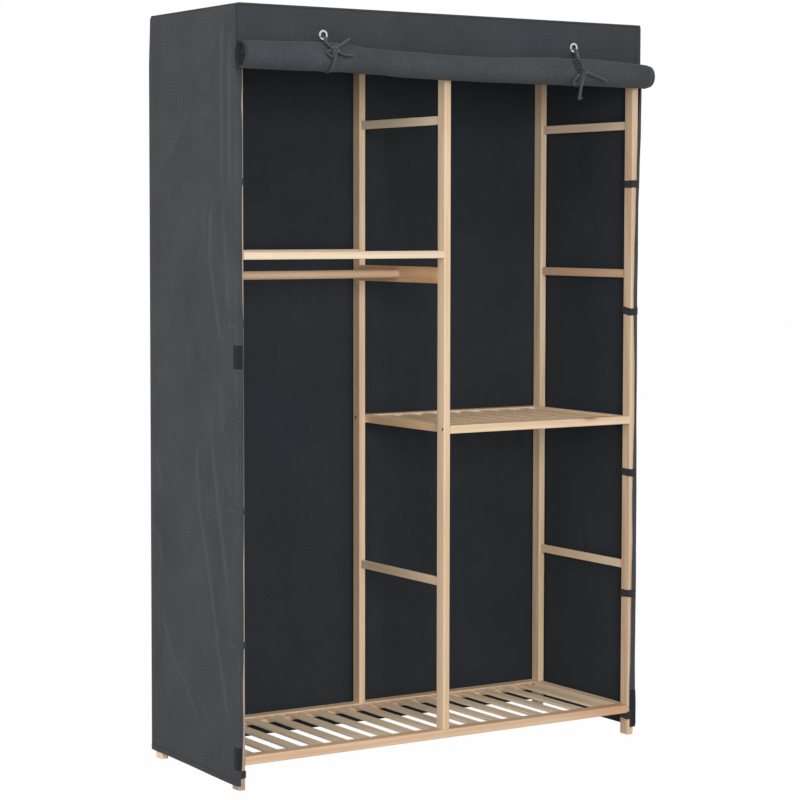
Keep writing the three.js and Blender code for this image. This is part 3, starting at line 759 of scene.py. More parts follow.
RIGHT_LACE = [
    (323, -268, 1538), (323.8, -268.6, 1549.4), (326, -269.4, 1563.4), (329.4, -270, 1578),
    (331.6, -271.6, 1590.2), (333.7, -273, 1599), (327.8, -272, 1608.6), (324.5, -267.5, 1618.8),
    (327.4, -256, 1629.8), (333, -243.5, 1640.5), (340, -231, 1647.5), (346, -218, 1653),
    (350.4, -209.5, 1655.8), (351, -204, 1657.2), (352.5, -199.8, 1662),
    (354.5, -196.4, 1661), (354.4, -194.6, 1652),
    (349.4, -195, 1610), (348.2, -199.6, 1594), (346.4, -208, 1581.6), (343.6, -215.6, 1573),
    (340.4, -226, 1567.2), (336.6, -237.3, 1565.4), (334.7, -251, 1568.4), (330.5, -262, 1575),
    (328, -268.5, 1583), (328.5, -272, 1591), (331, -273.5, 1597), (318.5, -272, 1590.2),
    (310.5, -268, 1581.4), (308.5, -262, 1574), (314, -257.5, 1568.5), (322, -260.5, 1571.5),
    (325, -268, 1580.5), (329, -273, 1591), (334.4, -275.6, 1598.2), (345.4, -273.4, 1594.4),
    (357.7, -272.6, 1591.1), (375, -271, 1586.7), (391.5, -268.6, 1582.5), (403, -264.4, 1577)]


def clear_of_roll(p):
    """Moves a place in front of the band out to where a lace lies on the roll."""
    if p.y > BAND_FRONT:
        return p
    sunk, full = along_table(ROLL_LINE, (p.x - roll_low.x) / (roll_high.x - roll_low.x))
    full *= MILLIMETRE
    middle = Vector((p.x, BAND_FRONT - JOINT_GAP - full, ROLL_AXIS_Z - sunk * MILLIMETRE))
    away = p - middle
    upward = smooth(-0.95, -0.5, away.normalized().z)
    clearance = lerp(LACE_CLEARANCE_BELOW, LACE_CLEARANCE, upward)
    return middle + away.normalized() * max(away.length if upward > 0 else 0.0, full + clearance)


def lace_route(places):
    line = catmull([Vector(p) * MILLIMETRE + LACE_SHIFT for p in places], LACE_STEPS)
    return [clear_of_roll(p) for p in line]


def tape(name, line, width):
    """A flat tape whose face looks away from the roll's middle; its lower edge lies in shade."""
    points = []
    shade = []
    for i, p in enumerate(line):
        along = (line[min(i + 1, len(line) - 1)] - line[max(i - 1, 0)]).normalized()
        out = Vector((0, p.y - ROLL_AXIS_Y, p.z - ROLL_AXIS_Z))
        if p.y > BAND_FRONT:
            out = Vector((0, 1, 0))
        out -= along * out.dot(along)
        out.normalize()
        side = along.cross(out)
        for across, rise in TAPE_SECTION:
            points.append(p + side * across * width + out * rise * LACE_THICKNESS)
            shade.append(1.2 * max(0.0, 0.3 - 2 * across * side.dot(LIGHT_FROM)))
    piece = add_mesh(name, points, sleeve_faces(len(line), len(TAPE_SECTION)), "wardrobe", [lace_tape])
    mark(piece, "painted_shade", shade)
    return piece


KNOT_STEPS = 48
KNOT_CORD_SHARE = 0.28
KNOT_CORD_SIDES = 8


def knot(name, place, size, turn, finish):
    """A tight overhand knot of the same tape."""
    points = []
    for k in range(KNOT_STEPS):
        t = k / KNOT_STEPS * math.tau
        points.append(Vector((math.sin(t) + 2 * math.sin(2 * t), -math.sin(3 * t) * 1.1,
                              math.cos(t) - 2 * math.cos(2 * t))) * (size / 3))
    spin = Matrix.Rotation(turn, 3, "Y")
    line = [spin @ p + place for p in points]
    return tube(name, line, size * KNOT_CORD_SHARE, KNOT_CORD_SIDES, finish)


def add_laces():
    left = tape("left_lace", lace_route(LEFT_LACE), LACE_WIDTHS[0])
    right = tape("right_lace", lace_route(RIGHT_LACE[::-1]), LACE_WIDTHS[1])
    knots = {}
    for name, place, size, turn, finish in (
            ("left_lace_knot", (-344.8, -274, 1621), 0.0084, 0.4, lace_tape),
            ("left_lace_inner_knot", (-349.5, -272.6, 1613.6), 0.0066, 1.9, lace_shade),
            ("right_lace_upper_knot", (315.6, -267.5, 1620.5), 0.0088, 0.2, lace_shade),
            ("right_lace_knot", (317, -272.5, 1611), 0.0088, 1.1, lace_shade),
            ("right_lace_low_knot", (323.4, -273.4, 1601), 0.0086, 2.2, lace_shade),
            ("right_lace_front_knot", (332.6, -275, 1598.6), 0.0066, 0.9, lace_tape),
            ("right_lace_end_knot", (323, -268, 1539), 0.0054, 0.7, lace_tape)):
        knots[name] = knot(name, Vector(place) * MILLIMETRE + LACE_SHIFT, size, turn, finish)
    for piece in (left, right, *knots.values()):
        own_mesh(piece)
    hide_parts("left_tie_lace")
    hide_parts("right_tie_lace")
    for piece, side, places, width, end in (
            (left, "left", LEFT_LACE, LACE_WIDTHS[0], "bare"),
            (right, "right", RIGHT_LACE[::-1], LACE_WIDTHS[1], "knot")):
        route = lace_route(places)
        tuple(route[0])
        steps(route)[-1]
        [tuple(p) for p in route]


# Pine frame

def dress_frame():
    bars = {
        "front_left_post": pine_post_left, "front_middle_post": pine_post_warm,
        "front_right_post": pine_post_grey, "back_left_post": pine_post_pale,
        "upper_front_rail": pine_upper_rail, "upper_back_rail": pine_upper_rail,
        "hanging_rail": pine_round, "shelf_panel": panel_pine, "left_eyelet": nickel,
        "right_eyelet": nickel, "middle_upper_rung": pine_rung_pale,
        "right_middle_rung": pine_rung_rosy, "tray_front_rail": pine_front_rail}
    endings = {"_post": pine_z, "_rung": pine_y, "_board": pine_board, "_end_rail": pine_y}
    for name, piece in nodes.items():
        if name.startswith(("cover_", "door_", "left_tie", "right_tie", "right_strap")):
            continue
        material = bars.get(name)
        for ending, finish in endings.items():
            if material is None and name.endswith(ending):
                material = finish
        if material is None:
            material = pine_slat if name.startswith("tray_slat") else pine_x
        piece.data.materials.clear()
        piece.data.materials.append(material)


dress_frame()


SCREW_RADIUS = 0.0034
SCREW_AROUND = 20
SCREW_PROFILE = ((0.25, 0.0002), (0.3, 0.0009), (0.62, 0.001), (0.92, 0.0006), (1.0, -0.0004))


def add_screw(name, place):
    """A domed cross-head screw in a side that faces left. Its profile is (share of radius, height)."""
    out = Vector((-1, 0, 0))
    side = out.orthogonal().normalized()
    rise = out.cross(side)
    points = [Vector(place) + out * 0.0001]
    faces = []
    around = SCREW_AROUND
    for ring, (share, height) in enumerate(SCREW_PROFILE):
        for k in range(around):
            angle = k / around * math.tau
            reach = SCREW_RADIUS * share * (1.0 if ring else 0.7 + 0.9 * abs(math.cos(2 * angle)) ** 6)
            points.append(Vector(place) + out * height
                          + (side * math.cos(angle) + rise * math.sin(angle)) * reach)
    for k in range(around):
        faces.append((0, 1 + k, 1 + (k + 1) % around))
    for ring in range(len(SCREW_PROFILE) - 1):
        for k in range(around):
            a, b = 1 + ring * around + k, 1 + ring * around + (k + 1) % around
            faces.append((a, a + around, b + around, b))
    piece = add_mesh(name, points, faces, "wardrobe", [screw_zinc])


middle_post_low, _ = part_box("front_middle_post")
add_screw("front_post_screw", (middle_post_low.x, MIDDLE_Y - 0.1944, 0.7734))
add_screw("back_post_screw", (middle_post_low.x, MIDDLE_Y + 0.1868, 0.7748))


# Folds of the side cloths: ridges along lines of (share of depth, share of height)

LEFT_FOLDS = [
    (0.6, ((0.954, 0.427), (0.889, 0.397), (0.847, 0.363))),
    (0.7, ((0.989, 0.329), (0.894, 0.304), (0.853, 0.258))),
    (0.85, ((0.433, 0.439), (0.401, 0.357), (0.276, 0.262), (0.175, 0.166), (0.051, 0.081))),
    (0.9, ((0.252, 0.443), (0.19, 0.374), (0.09, 0.28), (0.068, 0.252))),
    (0.5, ((0.125, 0.413), (0.041, 0.381), (-0.004, 0.367))),
    (0.55, ((0.869, 0.211), (0.764, 0.157), (0.545, 0.109), (0.386, 0.059))),
    (0.4, ((0.509, 0.87), (0.698, 0.831), (0.917, 0.794))),
    (0.4, ((0.883, 0.722), (0.834, 0.705), (0.786, 0.681))),
    (0.9, ((0.256, 0.752), (0.259, 0.677), (0.214, 0.638), (0.147, 0.583), (0.08, 0.574))),
    (0.75, ((0.117, 0.981), (0.125, 0.777))),
    (0.7, ((0.043, 0.969), (0.05, 0.776))),
    (0.7, ((0.13, 0.751), (0.087, 0.694), (0.056, 0.61))),
    (0.6, ((0.184, 0.535), (0.135, 0.49), (0.124, 0.45))),
    (0.6, ((0.279, 0.488), (0.252, 0.448))),
    (0.35, ((0.667, 0.833), (0.879, 0.794)))]
RIGHT_FOLDS = [
    (0.35, ((0.72, 0.842), (0.625, 0.812), (0.561, 0.779))),
    (0.35, ((0.55, 0.75), (0.456, 0.721), (0.394, 0.689))),
    (0.3, ((0.6, 0.3), (0.45, 0.2)))]
FOLD_REACH = 0.0075
FOLD_CREST = 0.0105
FOLD_SKIRT = 0.032
# Width of the painted highlight along a fold's top
FOLD_HIGHLIGHT_WIDTH = 0.004

# Rows of (height, where the hem ends, how far the front edge stands out)
LEFT_EDGE = [
    (0.02, 0.5455, 0.0), (0.069, 0.5416, 0.0), (0.135, 0.5393, 0.0), (0.223, 0.540, 0.0),
    (0.311, 0.5375, 0.0), (0.400, 0.5373, 0.001), (0.488, 0.5381, 0.001), (0.576, 0.5362, 0.001),
    (0.752, 0.5360, 0.001), (0.84, 0.5358, 0.001), (0.928, 0.5356, 0.001), (1.017, 0.5358, 0.001),
    (1.105, 0.5377, 0.001), (1.237, 0.5383, 0.0), (1.281, 0.5381, 0.0), (1.369, 0.5363, 0.0),
    (1.413, 0.5363, 0.0), (1.457, 0.5367, 0.0), (1.501, 0.5385, 0.0), (1.545, 0.5368, 0.0)]
RIGHT_EDGE = [
    (0.034, 0.539, 0.0035), (0.071, 0.5366, 0.0035), (0.108, 0.537, 0.0025), (0.183, 0.5393, 0.0015),
    (0.282, 0.540, 0.002), (0.381, 0.5408, 0.0027), (0.481, 0.5426, 0.002), (0.58, 0.5408, 0.002),
    (0.68, 0.5426, 0.0012), (0.778, 0.5454, 0.0), (0.877, 0.5448, 0.0), (1.076, 0.540, -0.001),
    (1.175, 0.5417, 0.0), (1.275, 0.5438, 0.0), (1.374, 0.545, 0.003), (1.473, 0.546, 0.006),
    (1.572, 0.5484, 0.007), (1.64, 0.547, 0.002), (1.7, 0.5395, -0.001)]


def distance_to_line(y, z, line):
    """The distance to a line, and how far the nearest place on it is from the line's closer end."""
    least, from_end = 1.0, 0.0
    corners = [Vector((depth * DEPTH, height * CLOTH_TOP)) for depth, height in line]
    total = sum((b - a).length for a, b in zip(corners, corners[1:]))
    run = 0.0
    p = Vector((y, z))
    for a, b in zip(corners, corners[1:]):
        along = b - a
        t = min(1.0, max(0.0, (p - a).dot(along) / along.length_squared))
        distance = (p - a - along * t).length
        if distance < least:
            here = run + along.length * t
            least, from_end = distance, min(here, total - here)
        run += along.length
    return least, from_end


def fold_at(y, z, folds):
    """How far the cloth stands out at a depth and height, and how close that is to a fold's top, where a
    painted highlight goes.
    """
    reach = 0.0
    crest_highlight = 0.0
    for share, line in folds:
        d, from_end = distance_to_line(y, z, line)
        share *= smooth(-0.015, 0.04, from_end)
        ridge = 0.7 * hill(d, FOLD_CREST) + 0.3 * hill(d, FOLD_SKIRT)
        reach = max(reach, share * ridge)
        crest_highlight = max(crest_highlight, share * hill(d, FOLD_HIGHLIGHT_WIDTH))
    return reach * FOLD_REACH, crest_highlight


# Side cloths: from the hem on the front post, round its corner and along the side to the back

SIDE_COLUMNS = 84
CORNER = 0.0028
HEM_COLUMNS = 4
CORNER_COLUMNS = 5
HEM_DEPTH = 0.0135
LEFT_BACK_OUT = 0.003
RIGHT_BACK_OUT = 0.0012
BACK_BULGE = 0.0075
SIDE_RIPPLE = 0.0032
SIDE_SMALL_RIPPLE = 0.0007
HEM_PROUD = 0.0006
FREE_FROM_FRONT = 0.03
FREE_FROM_TOP = 0.02
EDGE_OUT_DEPTH = 0.05
HEM_SEAM_WIDTH = 0.0016
CLOTH_HEIGHT = 1.70

# Height of the bottom edge at the front and at the back
LEFT_BOTTOM = (0.010, 0.018)
RIGHT_BOTTOM = (0.0186, 0.018)


# Heights over the bottom edge, as shares of the cloth's height, closer together at the hem
HEM_HEIGHTS = [0.0, 0.0015, 0.006, 0.0105, 0.0125, 0.0135, 0.0145, 0.0165, 0.022]
BODY_ROWS = 168
BODY_HEIGHTS = [lerp(0.03, 1.69, k / BODY_ROWS) for k in range(BODY_ROWS + 1)]
TOP_SHARES = [0.9955, 0.9965, 0.9973, 0.998, 0.9986, 0.9992, 0.9997, 1.0]
SIDE_ROWS = [height / CLOTH_HEIGHT for height in HEM_HEIGHTS + BODY_HEIGHTS] + TOP_SHARES


def side_path(i, hem_end):
    """A place round the post as (x from the middle, y), from the hem's end to the back."""
    corner_x, corner_y = CLOTH_OUT_X - CORNER, CLOTH_OUT_FRONT + CORNER
    if i < HEM_COLUMNS:
        return lerp(hem_end, corner_x, max(0.0, i) / HEM_COLUMNS), CLOTH_OUT_FRONT
    i -= HEM_COLUMNS
    if i < CORNER_COLUMNS:
        angle = i / CORNER_COLUMNS * math.pi / 2
        return corner_x + CORNER * math.sin(angle), corner_y - CORNER * math.cos(angle)
    i = min(i - CORNER_COLUMNS, SIDE_COLUMNS)
    return CLOTH_OUT_X, lerp(corner_y, CLOTH_OUT_BACK, i / SIDE_COLUMNS)


def side_index(y):
    """The column of a place y on the flat part of a side."""
    share = (y - CLOTH_OUT_FRONT - CORNER) / (CLOTH_OUT_BACK - CLOTH_OUT_FRONT - CORNER)
    return HEM_COLUMNS + CORNER_COLUMNS + share * SIDE_COLUMNS


def back_bulge(z):
    return BACK_BULGE * (1 - z / CLOTH_TOP)


def back_edge_out(side, z):
    """How far a side cloth's back edge stands out of the frame's line."""
    out = LEFT_BACK_OUT if side < 0 else RIGHT_BACK_OUT
    return out * smooth(CLOTH_TOP, CLOTH_TOP - 0.12, z) if z < CLOTH_TOP else 0.0


def make_side_surface(side, folds, edge_table, hems, seed):
    """surface(i, share): places on a side cloth, and how close each is to the top of a fold, where a painted
    highlight goes.
    """
    def describe(i, share):
        hem_guess = lerp(hems[0], COVER_EDGE, share)
        hem_end, edge_out = along_table(edge_table, hem_guess)
        x, y = side_path(i, hem_end)
        depth_share = min(1.0, max(0.0, (y - FRONT) / DEPTH))
        bottom = lerp(hems[0], hems[1], depth_share)
        z = lerp(bottom, COVER_EDGE, share)
        reach, crest_highlight = fold_at(y - FRONT, z, folds)
        free = smooth(0.0, FREE_FROM_FRONT, y - CLOTH_OUT_FRONT) * smooth(0.0, FREE_FROM_TOP, COVER_EDGE - z)
        free *= smooth(-0.002, 0.02, CLOTH_OUT_BACK - y)
        ripple = wavy(y * 2.2, z, 3.0, seed)
        small = wavy(y * 2.0, z, 17.0, seed + 3.1)
        reach = free * (reach + SIDE_RIPPLE * ripple + SIDE_SMALL_RIPPLE * small)
        reach += edge_out * smooth(0.54, 0.5525, x) * hill(y - CLOTH_OUT_FRONT, EDGE_OUT_DEPTH)
        reach += back_edge_out(side, z) * smooth(0.85, 1.0, depth_share)
        on_hem = smooth(HEM_DEPTH + 0.001, HEM_DEPTH - 0.001, z - bottom) if z - bottom < 0.02 else 0.0
        reach += HEM_PROUD * on_hem * smooth(0.0, 0.004, y - CLOTH_OUT_FRONT)
        backwards = back_bulge(z) * smooth(0.9, 1.0, depth_share)
        return soften(Vector((side * (x + reach), y + backwards, z))), crest_highlight * free, z - bottom

    def surface(i, share):
        return describe(i, share)[0]

    return surface, describe


def add_side(name, node_name, side, folds, edge_table, hems, seed):
    surface, describe = make_side_surface(side, folds, edge_table, hems, seed)
    columns = HEM_COLUMNS + CORNER_COLUMNS + SIDE_COLUMNS

    def marks(i, j):
        # A painted highlight along the folds' tops, and painted shade along the hem's stitch line.
        _, crest_highlight, height = describe(i, SIDE_ROWS[j])
        painted_shade = 0.55 * hill(height - HEM_DEPTH, HEM_SEAM_WIDTH)
        return crest_highlight, painted_shade

    piece = cloth_grid(name, columns, len(SIDE_ROWS) - 1, lambda i, j: surface(i, SIDE_ROWS[j]),
                       "wardrobe", [outside_cloth, inside_cloth if side < 0 else right_inside_lit],
                       turned=side < 0, marks=marks)
    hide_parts(node_name)
    height = COVER_EDGE - hems[0]
    reach = (0.4, 0.001)
    hem_share = (HEM_DEPTH + 0.0012) / height
    add_stitches(name + "_hem_stitches", surface, (side_index(FRONT + 0.006), hem_share),
                 (side_index(BACK - 0.004), hem_share), side, reach)
    add_stitches(name + "_back_stitches", surface, (side_index(BACK - 0.009), 0.015),
                 (side_index(BACK - 0.009), 0.99), side, reach)
    add_stitches(name + "_front_stitches", surface, (2.2, 0.02), (2.2, 0.95), side, reach)
    return surface


left_surface = add_side("left_side_cloth", "cover_left_side", -1, LEFT_FOLDS, LEFT_EDGE, LEFT_BOTTOM,
                        1.7)
right_surface = add_side("right_side_cloth", "cover_right_side", 1, RIGHT_FOLDS, RIGHT_EDGE,
                         RIGHT_BOTTOM, 9.3)


# Hook-and-loop patches, and the stitches that hold the straps behind the cloth

LEFT_TACKS = (0.318, 0.618, 1.0215, 1.329)
RIGHT_TACKS = (0.324, 0.639, 1.021, 1.3245)
TACK_ROWS = (0.0, 0.0045)
TACK_START = -0.1955
TACK_END = -0.1715

# Patches of the left front edge as (low, high, how deep they reach)
LEFT_PATCHES = ((0.930, 0.981, -0.191), (0.045, 0.0956, -0.187))
RIGHT_PATCH = (0.022, 0.111, -0.184)


def add_side_trims():
    def share(z, side):
        bottom = (LEFT_BOTTOM if side < 0 else RIGHT_BOTTOM)[0]
        return (z - bottom) / (COVER_EDGE - bottom)

    def column(y):
        return side_index(MIDDLE_Y + y)

    reach = (0.3, 0.0008)
    for k, (low, high, deep) in enumerate(LEFT_PATCHES):
        add_patch(f"left_hook_patch_{k + 1}", left_surface, (0.7, column(deep)),
                  (share(low, -1), share(high, -1)), (14, 14), -1, reach, 0.0013)
    low, high, deep = RIGHT_PATCH
    add_patch("right_hook_patch", right_surface, (0.4, column(deep)),
              (share(low, 1), share(high, 1)), (12, 20), 1, reach, 0.0012)
    for side, surface in ((-1, left_surface), (1, right_surface)):
        for k, z in enumerate(LEFT_TACKS if side < 0 else RIGHT_TACKS):
            for row in TACK_ROWS:
                name = f"{'left' if side < 0 else 'right'}_tack_{k + 1}_{'b' if row else 'a'}"
                height = share(z + row, side)
                add_stitches(name, surface, (column(TACK_START), height), (column(TACK_END), height),
                             side, reach, finish=pale_thread, pitch=0.0022, width=0.0011)


add_side_trims()


# Back cloth

BACK_HEM = 0.018
BACK_RIPPLE = 0.003
BACK_SMALL_RIPPLE = 0.0008
PACKING_CREASES = (0.43, 0.86, 1.29)
CREASE_WIDTH = 0.006
UPRIGHT_CREASE = 0.0014
LEVEL_CREASE = 0.0011

# A pulled fold across the back: where it stands at a metre's height, its lean, width and depth
PULL_X = 0.25
PULL_LEAN = 0.35
PULL_WIDTH = 0.02
PULL_DEPTH = 0.0018


def back_surface(x_share, share):
    z = lerp(BACK_HEM, COVER_EDGE, share)
    half_left = CLOTH_OUT_X + back_edge_out(-1, z)
    half_right = CLOTH_OUT_X + back_edge_out(1, z)
    x = lerp(-half_left, half_right, x_share)
    free = smooth(0, 0.05, CLOTH_OUT_X - abs(x)) * smooth(0, 0.05, COVER_EDGE - z)
    ripple = wavy(x * 1.4, z, 2.6, 4.4)
    small = wavy(x * 1.1, z, 9.0, 7.7)
    crease = hill(x, CREASE_WIDTH) * UPRIGHT_CREASE
    for height in PACKING_CREASES:
        crease = max(crease, hill(z - height, CREASE_WIDTH) * LEVEL_CREASE)
    pull = hill(x - PULL_X - (z - 1.0) * PULL_LEAN, PULL_WIDTH) * smooth(1.5, 1.2, z) if z < 1.5 else 0
    pull = pull * smooth(0.6, 0.9, z) * PULL_DEPTH
    folds = BACK_RIPPLE * ripple + BACK_SMALL_RIPPLE * small + crease + pull
    y = CLOTH_OUT_BACK + back_bulge(z) + free * folds
    return soften(Vector((x, y, z)))


def add_back():
    xs = close_at_ends(0.0, 1.0, 104, 0.0065, 7)
    zs = [lerp(0.0, 0.9955, k / 150) for k in range(151)] + [0.9965, 0.9973, 0.998, 0.9987, 0.9994, 1.0]
    hem_share = HEM_DEPTH / (COVER_EDGE - BACK_HEM)

    def marks(i, j):
        # Painted shade along the hem's stitch line.
        height = zs[j] * (COVER_EDGE - BACK_HEM)
        return 0.0, 0.4 * hill(height - HEM_DEPTH, 0.004)

    piece = cloth_grid("back_cloth", len(xs) - 1, len(zs) - 1, lambda i, j: back_surface(xs[i], zs[j]),
                       "wardrobe", [outside_cloth, inside_cloth], turned=True, marks=marks)
    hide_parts("cover_back")
    reach = (0.002, 0.001)
    add_stitches("back_hem_stitches", back_surface, (0.006, hem_share), (0.994, hem_share), -1, reach)
    for name, x_share in (("left", 0.008), ("right", 0.992)):
        add_stitches(f"back_{name}_stitches", back_surface, (x_share, 0.012), (x_share, 0.99), -1, reach)


add_back()


# Top cloth with its piping

PIPING_RADIUS = 0.0021
PIPING_CORNER = 0.0024
PIPING_INSET = 0.0016
PIPING_STEP = 0.004
TOP_SAG = 0.006
TOP_RIPPLE = 0.002
TOP_ROWS = 40
TOP_STITCH_INSET = 0.006


def add_top():
    front, back = top_low.y, CLOTH_OUT_BACK
    xs = close_at_ends(0.0, 1.0, 92, 0.0065, 7)

    def surface(u, v):
        x = lerp(-CLOTH_OUT_X, CLOTH_OUT_X, u)
        y = lerp(front, back, v)
        inside = smooth(0, 0.04, CLOTH_OUT_X - abs(x))
        between = smooth(0.03, 0.12, min(y - front, back - y))
        ripple = waviness(x * 1.3, y, 5.0, 6.2)
        sag = inside * between * (TOP_SAG + TOP_RIPPLE * ripple)
        z = COVER_EDGE + JOINT_GAP - sag + inside * 0.0006 * ripple
        return soften(Vector((x, y, z)))

    piece = cloth_grid("top_cloth", len(xs) - 1, TOP_ROWS, lambda i, j: surface(xs[i], j / TOP_ROWS),
                       "wardrobe", [outside_cloth, inside_cloth])
    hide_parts("cover_top")

    inset = TOP_STITCH_INSET / (2 * CLOTH_OUT_X), TOP_STITCH_INSET / (back - front)
    reach = (0.004, 0.01)
    corners = [(inset[0], inset[1]), (1 - inset[0], inset[1]), (1 - inset[0], 1 - inset[1]),
               (inset[0], 1 - inset[1])]
    for k in range(4):
        add_stitches(f"top_stitches_{k + 1}", surface, corners[k], corners[(k + 1) % 4], 1, reach)


def add_piping():
    end = CLOTH_OUT_X - PIPING_INSET
    front, back = top_low.y + PIPING_INSET, CLOTH_OUT_BACK - PIPING_INSET
    height = COVER_TOP - PIPING_RADIUS - 0.0002
    line = []
    for cx, cy, start in ((end, front, -90), (end, back, 0), (-end, back, 90), (-end, front, 180)):
        sx, sy = math.copysign(1, cx), 1 if cy == back else -1
        for k in range(7):
            angle = math.radians(start + k * 15)
            line.append(Vector((cx - sx * PIPING_CORNER + PIPING_CORNER * math.cos(angle),
                                cy - sy * PIPING_CORNER + PIPING_CORNER * math.sin(angle), height)))
    rounded = []
    for a, b in zip(line, line[1:] + line[:1]):
        parts = max(1, round((b - a).length / PIPING_STEP))
        rounded.extend(soften(a.lerp(b, k / parts)) for k in range(parts))
    piping = tube("top_piping", rounded, PIPING_RADIUS, 10, outside_cloth)


add_top()
add_piping()


# Front cloth: the flat band with its two eyelet holes, and below it the part that stretches as the
# door comes down, in one piece

EYELETS = [sum((Vector(c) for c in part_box(name)), Vector()) / 2 for name in ("left_eyelet", "right_eyelet")]
EYELET_HOLE = 0.0079
EYELET_BLOCK = 0.014
FRONT_LOW = ROLL_AXIS_Z - 0.0104
STRETCH_END = ROLL_AXIS_Z - 0.0005
STRETCH_ROWS = 84
LEFT_GROOVE = -0.5497
RIGHT_SEAM = 0.535
BAND_RIPPLE = 0.0007
BAND_END_BACK = 0.0012
GROOVE_DEPTH = 0.0016
GROOVE_WIDTH = 0.0006
SEAM_DEPTH = 0.0006
SEAM_WIDTH = 0.0009


def front_columns():
    places = []
    edges = [-0.544]
    for eyelet in EYELETS:
        edges += [eyelet.x - EYELET_BLOCK, eyelet.x + EYELET_BLOCK]
    edges.append(0.53)
    for k, (a, b) in enumerate(zip(edges, edges[1:])):
        parts = 4 if k in (1, 3) else max(1, round((b - a) / 0.011))
        places.extend(lerp(a, b, i / parts) for i in range(parts))
    left = [-CLOTH_OUT_X, -0.552, -0.5513, -0.5506, -0.5501, LEFT_GROOVE, -0.5493, -0.5488, -0.5478]
    right = [0.53, 0.533, 0.5342, RIGHT_SEAM, 0.5358, 0.537, 0.541, 0.544, 0.5465, 0.5485, 0.55,
             0.5512, 0.552, CLOTH_OUT_X]
    return left + places + right


def front_place(x, z):
    free = smooth(0.0, 0.05, CLOTH_OUT_X - abs(x)) * smooth(0.0, 0.02, COVER_EDGE - z)
    free *= smooth(ROLL_AXIS_Z + 0.008, BAND_BOTTOM + 0.004, z)
    y = BAND_FRONT - free * (BAND_RIPPLE + BAND_RIPPLE * waviness(x, z, 9.0, 2.2))
    y += BAND_END_BACK * smooth(CLOTH_OUT_X - 0.004, CLOTH_OUT_X, abs(x))
    y += GROOVE_DEPTH * hill(x - LEFT_GROOVE, GROOVE_WIDTH)
    y += SEAM_DEPTH * hill(x - RIGHT_SEAM, SEAM_WIDTH)
    return soften(Vector((x, y, z)))


def front_marks(p):
    # Painted shade along the left groove, along the right-hand groove and just under the top edge.
    painted_shade = 0.9 * hill(p.x - LEFT_GROOVE, 0.0009)
    painted_shade = max(painted_shade, 0.5 * hill(p.x - RIGHT_SEAM, 0.0014))
    return max(painted_shade, 0.5 * hill(p.z - (COVER_EDGE - 0.0006), 0.0012))


def add_front():
    xs = front_columns()
    low, high = EYELETS[0].z - EYELET_BLOCK, EYELETS[0].z + EYELET_BLOCK
    zs = [lerp(FRONT_LOW, STRETCH_END, k / 4) for k in range(4)]
    zs += [lerp(STRETCH_END, BAND_BOTTOM, k / STRETCH_ROWS) for k in range(STRETCH_ROWS)]
    zs += [lerp(BAND_BOTTOM, low, k / 2) for k in range(2)]
    block = len(zs)
    zs += [lerp(low, high, k / 4) for k in range(4)]
    zs += [lerp(high, COVER_EDGE - 0.0075, k / 4) for k in range(4)]
    zs += [COVER_EDGE - depth / 1e4 for depth in (75, 60, 47, 36, 26, 18, 11, 4, -4)]
    points = [front_place(x, z) for z in zs for x in xs]
    across = len(xs)
    skip = set()
    rings = []
    for eyelet in EYELETS:
        i0 = min(range(across), key=lambda i: abs(xs[i] - (eyelet.x - EYELET_BLOCK)))
        skip |= {(i0 + a, block + b) for a in range(4) for b in range(4)}
        border = [(i0 + a, block) for a in range(4)] + [(i0 + 4, block + b) for b in range(4)]
        border += [(i0 + 4 - a, block + 4) for a in range(4)]
        border += [(i0, block + 4 - b) for b in range(4)]
        rings.append((eyelet, [j * across + i for i, j in border]))
    faces = grid_faces(across - 1, len(zs) - 1, False, skip)
    for eyelet, border in rings:
        first = len(points)
        for index in border:
            away = points[index] - eyelet
            angle = math.atan2(away.z, away.x)
            x = eyelet.x + EYELET_HOLE * math.cos(angle)
            z = eyelet.z + EYELET_HOLE * math.sin(angle)
            points.append(front_place(x, z))
        for k in range(16):
            n = (k + 1) % 16
            faces.append((border[k], border[n], first + n, first + k))
    piece = add_mesh("front_cloth", points, faces, None, [front_outside_shaded, front_inside])
    mark(piece, "painted_shade", [front_marks(p) for p in points])
    thicken(piece, CLOTH)
    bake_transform(piece)
    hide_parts("cover_front_band", "door_curtain")
    reach = (0.002, 0.001)
    add_stitches("front_right_stitches", front_place, (RIGHT_SEAM - 0.0024, COVER_EDGE - 0.004),
                 (RIGHT_SEAM - 0.0024, BAND_BOTTOM + 0.002), -1, reach)
    add_stitches("front_top_stitches", front_place, (-0.547, COVER_EDGE - 0.0045),
                 (0.547, COVER_EDGE - 0.0045), -1, reach)


add_front()


# Roll: the rest of the front cloth, wound up outwards. Rows of (share of width, sunk, radius) in
# millimetres follow the line in which it hangs between its two laces.

ROLL_TURNS = 8
ROLL_STEPS = 24
ROLL_PITCH = 0.00075
ROLL_LINE = [
    (0.0, -3.0, 29.8), (0.09, -3.5, 31.0), (0.16, -4.9, 32.4), (0.23, -4.4, 32.4), (0.30, 0.3, 29.3),
    (0.39, 4.2, 29.4), (0.5, 6.9, 29.5), (0.59, 7.5, 29.0), (0.65, 6.4, 29.8), (0.75, 4.7, 32.0),
    (0.85, 3.8, 32.1), (0.91, 5.7, 30.5), (0.98, 7.4, 29.2), (1.0, 8.2, 28.8)]
ROLL_TIES = (0.191, 0.795)
ROLL_RIM_STEP = 0.0055
ROLL_LEFT_MORE = 0.0025
ROLL_LEFT_SLANT = 0.006
ROLL_RIGHT_CUT = 0.010
ROLL_FUNNEL = 0.012
ROLL_WRAP = 0.0007
ROLL_WAVE = 0.0009
ROLL_SMALL_WAVE = 0.0006
ROLL_END_WAVE = 0.0008
ROLL_CLOTH = 0.0005
ROLL_TIE_WIDTH = 0.05
ROLL_END_SHARE = 0.02


